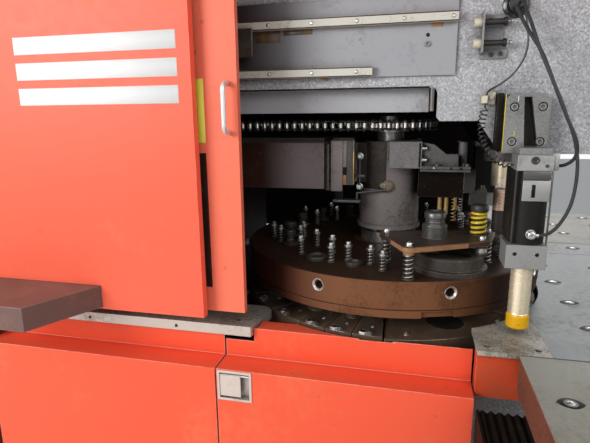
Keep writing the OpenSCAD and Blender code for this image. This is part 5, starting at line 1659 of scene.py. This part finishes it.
def details() -> list[Detail]:
    """Returns the small parts of the frame, the hub, the drive, the door stop and the cylinder."""
    # Rows in the black recess finish are painted shade: dark plates, discs, rods and heads that stand for
    # shadowed slots, gaps and holes.
    s = Shop
    bead = [(9.5 + 2.2 * abs(math.sin(i * 0.9)), i * 3.9) for i in range(40)]
    hub = Detail(
        "hub_details", "frame", "dark_steel",
        blocks=(
            (s.arm, (-372, -176, 1395), (-307, -110, 1402), 1.2),
            (s.hub, (-379, -171, 1231), (-341, -168, 1393), 1.0),
            (s.black, (-340, -168.6, 1284), (-328, -167.8, 1309), 0.1),
            (s.rust, (-340, -169.2, 1252), (-329, -168, 1284), 0.4),
            (s.hub, (-340, -169.2, 1309), (-329, -168, 1382), 0.4),
            (s.cast, (-327, -171, 1253), (-309, -168, 1394), 0.8),
            (s.brass, (-308, -171.5, 1256), (-304.5, -166, 1361), 0.4),
            (s.black, (-372, -130, 1199), (-345, -112, 1251), 1),
            (s.head, (-376, -150, 1190), (-287, -110, 1199), 1.2),
            (s.head, (-308, -121, 1271), (-276, -113, 1280), 1.0)
        ),
        rods=(
            (s.dark, (-292, -69, 1340), (-292, -112, 1340), 6),
            (s.dark, (-292, -69, 1240), (-292, -112, 1240), 6),
            (s.head, (-292, -116, 1232), (-292, -116, 1348), 3.6),
            (s.head, (-300, -114, 1196), (-300, -113, 1220), 4),
            (s.head, (-300, -113, 1218), (-208, -113, 1229), 4)
        ),
        bolts=(
            (s.bright, (-292, -112, 1340), FRONT, 8.5, 13), (s.bright, (-292, -112, 1240), FRONT, 8.5, 13)
        ),
        turned=(
            (s.weld, (-392, -139, 1229), UP, bead, 14),
            (
                s.corroded, (-200, -101, 1240), FRONT,
                [
                    (21, 0), (21, 5), (17, 5.5), (18, 8), (15, 9), (16, 12), (12, 13), (13, 17), (8, 18),
                    (7, 15), (0, 15)
                ],
                18
            ),
            (s.corroded, (-216, -99, 1244), FRONT, [(11, 0), (12, 4), (9, 9), (10, 13), (0, 14)], 9)
        )
    )
    drive = Detail(
        "drive_details", "frame", "grey_iron",
        blocks=(
            (s.black, (-106, -165.4, 1312), (-100, -164.6, 1386), 0.1),
            (s.black, (-100, -168.5, 1305), (48, -167.6, 1307), 0.1)
        ),
        rods=((s.head, (19, -98, 1386), (19, -98, 1389), 9),),
        screws=(
            (s.bright, (-97, -157, 1370), RIGHT, 7.5, 16), (s.bright, (-97, -157, 1334), RIGHT, 7.5, 16),
            (s.bright, (-59, -168, 1310), FRONT, 3.4, 2), (s.black, (-9, -168, 1310), FRONT, 3.4, 1),
            (s.black, (20, -168, 1310), FRONT, 3.4, 1), (s.dark, (-70, -142, 1315), UP, 6, 8),
            (s.dark, (30, -142, 1315), UP, 6, 8)
        ),
        bolts=((s.dark, (95, -92, 1236), UP, 8, 14),),
        turned=((s.brass, (14, -100, 1172), UP, [(9, 0), (9, 6), (6, 7), (6, 38), (0, 39)], 16),),
        coils=((s.brass, (10, -100, 1132), 7, 1.8, 70, 7), (s.turned, (31, -100, 1136), 6, 1.5, 68, 8))
    )
    bracket = Detail(
        "bracket_details", "frame", "aluminium",
        blocks=(
            (s.black, (78, -374, 1380), (94.2, -350, 1524), 3),
            (s.yellow, (118, -405.6, 1417), (119.8, -404.8, 1431), 0.2),
            (s.stripe, (121, -405.6, 1502), (123.2, -404.8, 1516), 0.2),
            (s.yellow, (92.8, -405.6, 1379), (94.4, -401, 1520), 0.2),
            (s.milled, (196, -467, 1341.5), (212, -443, 1382), 1.2),
            (s.milled, (135, -475.6, 1268), (196, -472, 1318), 0.8),
            (s.black, (155, -476.1, 1277), (163.5, -475.3, 1308), 0.1),
            (s.head, (135, -474.6, 1319), (196, -462, 1340), 1.5),
            (s.head, (198, -473, 1160), (201.5, -468, 1340), 0.5)
        ),
        rods=((s.dark, (121, -468, 1160), (121, -468, 1340), 3),),
        screws=tuple((s.steel, (x, -397.4, z), FRONT, 8.6, 7) for x in (115, 179) for z in (1405, 1489))
        + ((s.dark, (159, -470, 1365), FRONT, 9, 3), (s.dark, (186, -470, 1352), FRONT, 4, 2))
    )
    stop = Detail(
        "door_stop_details", "frame", "bright_steel",
        blocks=(
            (s.steel, (29.5, -354.6, 1685), (95, -350, 1711), 0.8),
            (s.steel, (33, -354.6, 1608), (95, -350, 1631), 0.8)
        ),
        screws=tuple(
            (s.dark, (x, -354.6, z), FRONT, 5.5, 4)
            for x, z in ((52, 1700), (76, 1697), (58, 1618), (80, 1620))
        ),
        turned=tuple(
            (s.bright, (88, -382, z), RIGHT, [(3.2, 0), (3.2, 5), (6, 8), (6, 10), (0, 10)], 12)
            for z in (1643, 1692)
        )
    )
    rails = ((-905, -26, 1700), (-905, -237, 1573))
    track = Detail(
        "track_details", "frame", "rail_cream",
        blocks=tuple(
            (s.grease, (a, -378.25, z + rise), (b, -377.9, z + rise + tall), 0.05)
            for a, b, z in rails
            for rise, tall in ((0.2, 2.6), (21.4, 2.4))
        )
        + (
            (s.rust, (-90, -359, 1691), (-62, -357.6, 1699), 0.3),
            (s.rust, (-375, -359, 1565), (-360, -357.6, 1572), 0.3),
            (s.grease, (-480, -359, 1687), (-400, -357.8, 1699), 0.3),
            (s.grease, (-560, -359, 1670), (-490, -357.8, 1699), 0.3)
        ),
        rods=(
            (s.weld, (-80, -353, 1481), (-80, -353, 1541), 5.5),
            (s.black, (-800, -351, 1543), (-88, -351, 1543), 2.2)
        ),
        screws=((s.steel, (-98, -358, 1650), FRONT, 7, 5),),
        turned=tuple(
            (f, (x, -378, z), FRONT, [(r, 0), (r, t), (r - 0.6, t + 0.05), (0, t + 0.05)], 14)
            for a, b, z in ((-878, -20, 1712), (-878, -230, 1585))
            for x in range(a, b, 120)
            for f, r, t in ((s.dark, 5.4, 0.1), (s.bright, 4.2, 0.25))
        )
        + ((s.black, (-98, -358, 1672), FRONT, [(5, 0), (5, 0.3), (0, 0.1)], 12),)
    )
    deck = Detail(
        "deck_details", "frame", "dark_steel",
        screws=tuple((s.dark, (x, -499, 873), FRONT, 4.8, 9) for x in (-1300, -1070, -780))
        + tuple((s.dark, (x, -470, 889.6), UP, 6.5, 1.2) for x in (-1330, -1050, -770, -600)),
        rods=(
            (s.dark, (-1180, -380, 889.4), (-1180, -380, 890.6), 8),
            (s.dark, (-880, -380, 889.4), (-880, -380, 890.6), 8)
        )
    )
    return [hub, drive, bracket, stop, track, deck]


@dataclass
class RimWork:
    """Bushes in the rim of the upper turret, and the die blocks on the lower one."""

    bush_z: float = 1014.0
    ring_z: tuple[float, float] = (838, 888)
    lower_z: float = 882
    far_start: float = -35
    far_step: float = 17.46
    seams: tuple[float, ...] = (-168, -150, -132.2, -117.8, -107.5, -98, -87.9)
    clamps: tuple[float, ...] = (-142.4, -126, -112.8, -103.3, -93.2)
    dies: tuple[Row, ...] = ((349, -171, 24), (361, -151, 20), (378, -121, 28), (372, -102, 20),
                             *((365, a, 24 if a % 40 == 0 else 21) for a in range(-20, 161, 20)))

    def sector(self, shape: Shape, a0: float, a1: float, z0: float, z1: float, round_off: float) -> None:
        """Adds one block of the ring.

        Args:
            shape: Piece that takes it.
            a0: Azimuth of its start, in degrees.
            a1: Azimuth of its end.
            z0: Lower face.
            z1: Upper face.
            round_off: Radius of the edges.
        """
        steps = max(4, round((a1 - a0) / 4))
        turns = [a0 + 0.14 + (a1 - a0 - 0.28) * i / steps for i in range(steps + 1)]
        outline = (
            [at_azimuth(488, a, 0)[:2] for a in turns]
            + [at_azimuth(262, a, 0)[:2] for a in reversed(turns)]
        )
        shape.plate(outline, z0, z1, round_off)

    def build(self) -> None:
        """Builds one ring in each index hole, the die blocks and one clamp over each near block."""
        shape = Shape("rim_bushes", Shop.turned)
        for i in range(8):
            azimuth = -109.7 + 42.4 * i
            out = Vector(at_azimuth(1.0, azimuth, 0.0)) - Vector((TURRET_X, 0, 0))
            shape.take(Shop.turned).lathe(
                at_azimuth(484, azimuth, self.bush_z), out,
                [(12.1, 0), (12.1, 2), (16.4, 6.2), (18, 6.3), (18, 3), (15, 0)], 28, True
            )
            # Painted shade: a black disc inside each bush stands for its dark bore.
            shape.take(Shop.black).lathe(
                at_azimuth(470, azimuth, self.bush_z), out, [(11.9, 0), (11.9, 1), (0, 1)], 20
            )
        shape.finish("upper_turret", "bright_steel")
        ring = Shape("die_ring", Shop.dies)
        low, top = self.ring_z
        far = [self.far_start + i * self.far_step for i in range(14)]
        for a0, a1 in [*zip(self.seams, self.seams[1:]), *zip(far, far[1:])]:
            self.sector(ring, a0, a1, low, top, 1.6)
            ring.take(Shop.bright).socket_screw(at_azimuth(430, (a0 + a1) / 2 + 1, top), UP, 5, 1.5)
            ring.take(Shop.dies)
        self.sector(ring, -87.7, -35.1, low, self.lower_z, 4.0)
        for radius, azimuth, size in self.dies:
            ring.lathe(
                at_azimuth(radius, azimuth, 880), UP,
                [(size, 0), (size, 22), (size * 0.9, 24), (size * 0.45, 24), (size * 0.42, 16), (0, 16)], 32
            )
        # Painted shade: a large black disc stands for the dark opening of the big die station.
        ring.take(Shop.black).lathe(at_azimuth(385, -61, 881), UP, [(54, 0), (54, 1.4), (0, 1.4)], 40)
        ring.take(Shop.bright)
        for radius, azimuth in ((452, -80), (452, -42)):
            ring.socket_screw(at_azimuth(radius, azimuth, self.lower_z), UP, 7, 3)
        for azimuth in self.clamps:
            out = Vector(at_azimuth(1.0, azimuth + 0.7, 0.0)) - Vector((TURRET_X, 0, 0))
            corner = [
                at_azimuth(r, azimuth + turn, 0)[:2]
                for r, turn in ((464, -2.0), (484, -2.5), (487, -0.6), (476, 0.9), (464, 0.6))
            ]
            ring.take(Shop.bright).plate(corner, 886, 895, 1.5)
            ring.take(Shop.head).hex_bolt(
                Vector(at_azimuth(477, azimuth + 0.8, 886)), out + Vector((0, 0, 0.9)), 7.5, 10
            )
        ring.finish("lower_turret", "dark_steel", ["die_holders"])


@dataclass
class BallCups:
    """Pointed recess plates, drawn black as painted shade, and bright seats of the transfer balls."""

    z: float = 910.0
    pitch: int = 190
    half_length: float = 27
    half_width: float = 19.5

    def cup(self, shape: Shape, x: float, y: float) -> None:
        """Adds the plate, the seat and the crown of one ball.

        Args:
            shape: Piece that takes it.
            x: Place of the ball along X.
            y: Place of the ball along Y.
        """
        outline = []
        for side in (-1, 1):
            for k in range(9):
                t = -1 + 2 * k / 9
                across = self.half_width * (1 - t * t) ** 0.8
                outline.append((x + side * t * self.half_length, y - side * across))
        # Painted shade: the black pointed plate stands for the dark recess round each ball.
        shape.take(Shop.black).plate(outline, self.z + 0.6, self.z + 1.9, 0.4)
        shape.take(Shop.head).lathe(
            (x, y, self.z + 1.2), UP, [(9.5, 0), (12.6, 0), (12.2, 1.1), (10.6, 1.2)], 22, True
        )
        shape.take(Shop.bright).lathe(
            (x, y, self.z + 1.0), UP, [(8.6, 0), (8.4, 1.2), (7, 2.1), (4.6, 2.7), (2, 2.95), (0, 3.0)], 22
        )

    def build(self) -> None:
        """Builds the cups of the fixed table and of the travelling ones."""
        fixed = Shape("table_cups", Shop.black)
        for x in range(356, 1441, self.pitch):
            for y in (-370, -180, 10, 200, 480):
                self.cup(fixed, x, y)
        fixed.finish("frame", "bright_steel")
        moving = Shape("side_cups", Shop.black)
        for x in range(203, 1261, self.pitch):
            for y in (755, 945, 1135):
                for side in (-1, 1):
                    self.cup(moving, x, side * y)
        moving.finish("carriage", "bright_steel")


@dataclass
class Studio:
    """Pale floor, soft lamps and a white surround."""

    def lamp(self, name: str, place: Point, aim: Point, size: tuple[float, float], power: float) -> None:
        """Adds a soft rectangular lamp.

        Args:
            name: Name of the lamp.
            place: Its place, in metres.
            aim: Point that it faces, in metres.
            size: Width and height, in metres.
            power: Power in watts.
        """
        data = bpy.data.lights.new(name, "AREA")
        data.shape = "RECTANGLE"
        data.size, data.size_y, data.energy = size[0], size[1], power
        lamp = bpy.data.objects.new(name, data)
        bpy.context.scene.collection.objects.link(lamp)
        lamp.location = place
        lamp.rotation_mode = "QUATERNION"
        lamp.rotation_quaternion = (Vector(aim) - Vector(place)).to_track_quat("-Z", "Y")

    def build(self) -> None:
        """Builds the floor, the lamps and the world."""
        shape = bmesh.new()
        bmesh.ops.create_grid(shape, x_segments=1, y_segments=1, size=15.0)
        data = bpy.data.meshes.new("studio_floor")
        shape.to_mesh(data)
        shape.free()
        graph = Graph(bpy.data.materials.new("pale_floor"))
        tone = graph.mix(graph.noise(0.8, 3.0).ramp(0.3, 0.7), (0.9, 0.9, 0.89), (0.93, 0.93, 0.92))
        data.materials.append(graph.surface({"Roughness": 0.6}, {"Base Color": tone}))
        floor = bpy.data.objects.new("studio_floor", data)
        bpy.context.scene.collection.objects.link(floor)
        self.lamp("front_left_lamp", (-2.9, -3.4, 2.3), (-0.3, -0.4, 1.1), (2.0, 1.8), 118)
        self.lamp("front_right_lamp", (2.4, -3.6, 3.2), (0.0, -0.3, 1.2), (2.6, 2.0), 45)
        self.lamp("far_lamp", (0.5, 4.2, 3.4), (0.0, 0.3, 1.0), (3.5, 2.4), 70)
        self.lamp("end_lamp", (4.6, 0.2, 2.8), (0.6, 0.0, 1.0), (3.0, 2.4), 50)
        self.surround()
        bpy.context.scene.view_settings.view_transform = "Standard"

    def surround(self) -> None:
        """Builds the world: white where it is seen or mirrored, and a soft light elsewhere."""
        world = bpy.data.worlds.new("studio")
        bpy.context.scene.world = world
        graph = Graph(world)
        camera, through, mirrored = (
            graph.node("ShaderNodeLightPath", out=f"Is {kind} Ray")
            for kind in ("Camera", "Transmission", "Glossy")
        )
        shown = graph.math("MAXIMUM", graph.math("MAXIMUM", camera, through), mirrored)
        white = graph.node("ShaderNodeBackground", None, {"Color": (1, 1, 1, 1)})
        soft = graph.node("ShaderNodeBackground", None, {"Color": (0.9, 0.95, 1.0, 1), "Strength": 0.25})
        blend = graph.node("ShaderNodeMixShader", None, {0: shown, 1: soft, 2: white})
        graph.node("ShaderNodeOutputWorld", None, {"Surface": blend})


def dress(nodes: dict[str, bpy.types.Object]) -> None:
    """Gives every CAD node its finish.

    Args:
        nodes: The CAD nodes by name.
    """
    for name, finish in WORN_BY.items():
        node = nodes[name]
        node.data.materials.clear()
        node.data.materials.append(finish.make())
        for polygon in node.data.polygons:
            polygon.material_index = 0


def main() -> None:
    """Builds the scene."""
    logging.basicConfig(level=logging.INFO, format="%(message)s")
    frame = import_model()
    Viewpoint().build()
    for line in cords():
        line.build()
    dress(frame["nodes"])
    for part in (Guards(), TurretTooling(), Bellows(), Fittings(), BallCups(), RimWork(), *details()):
        part.build()
        log.info("built %s", type(part).__name__)
    Studio().build()


if __name__ == "__main__":
    main()
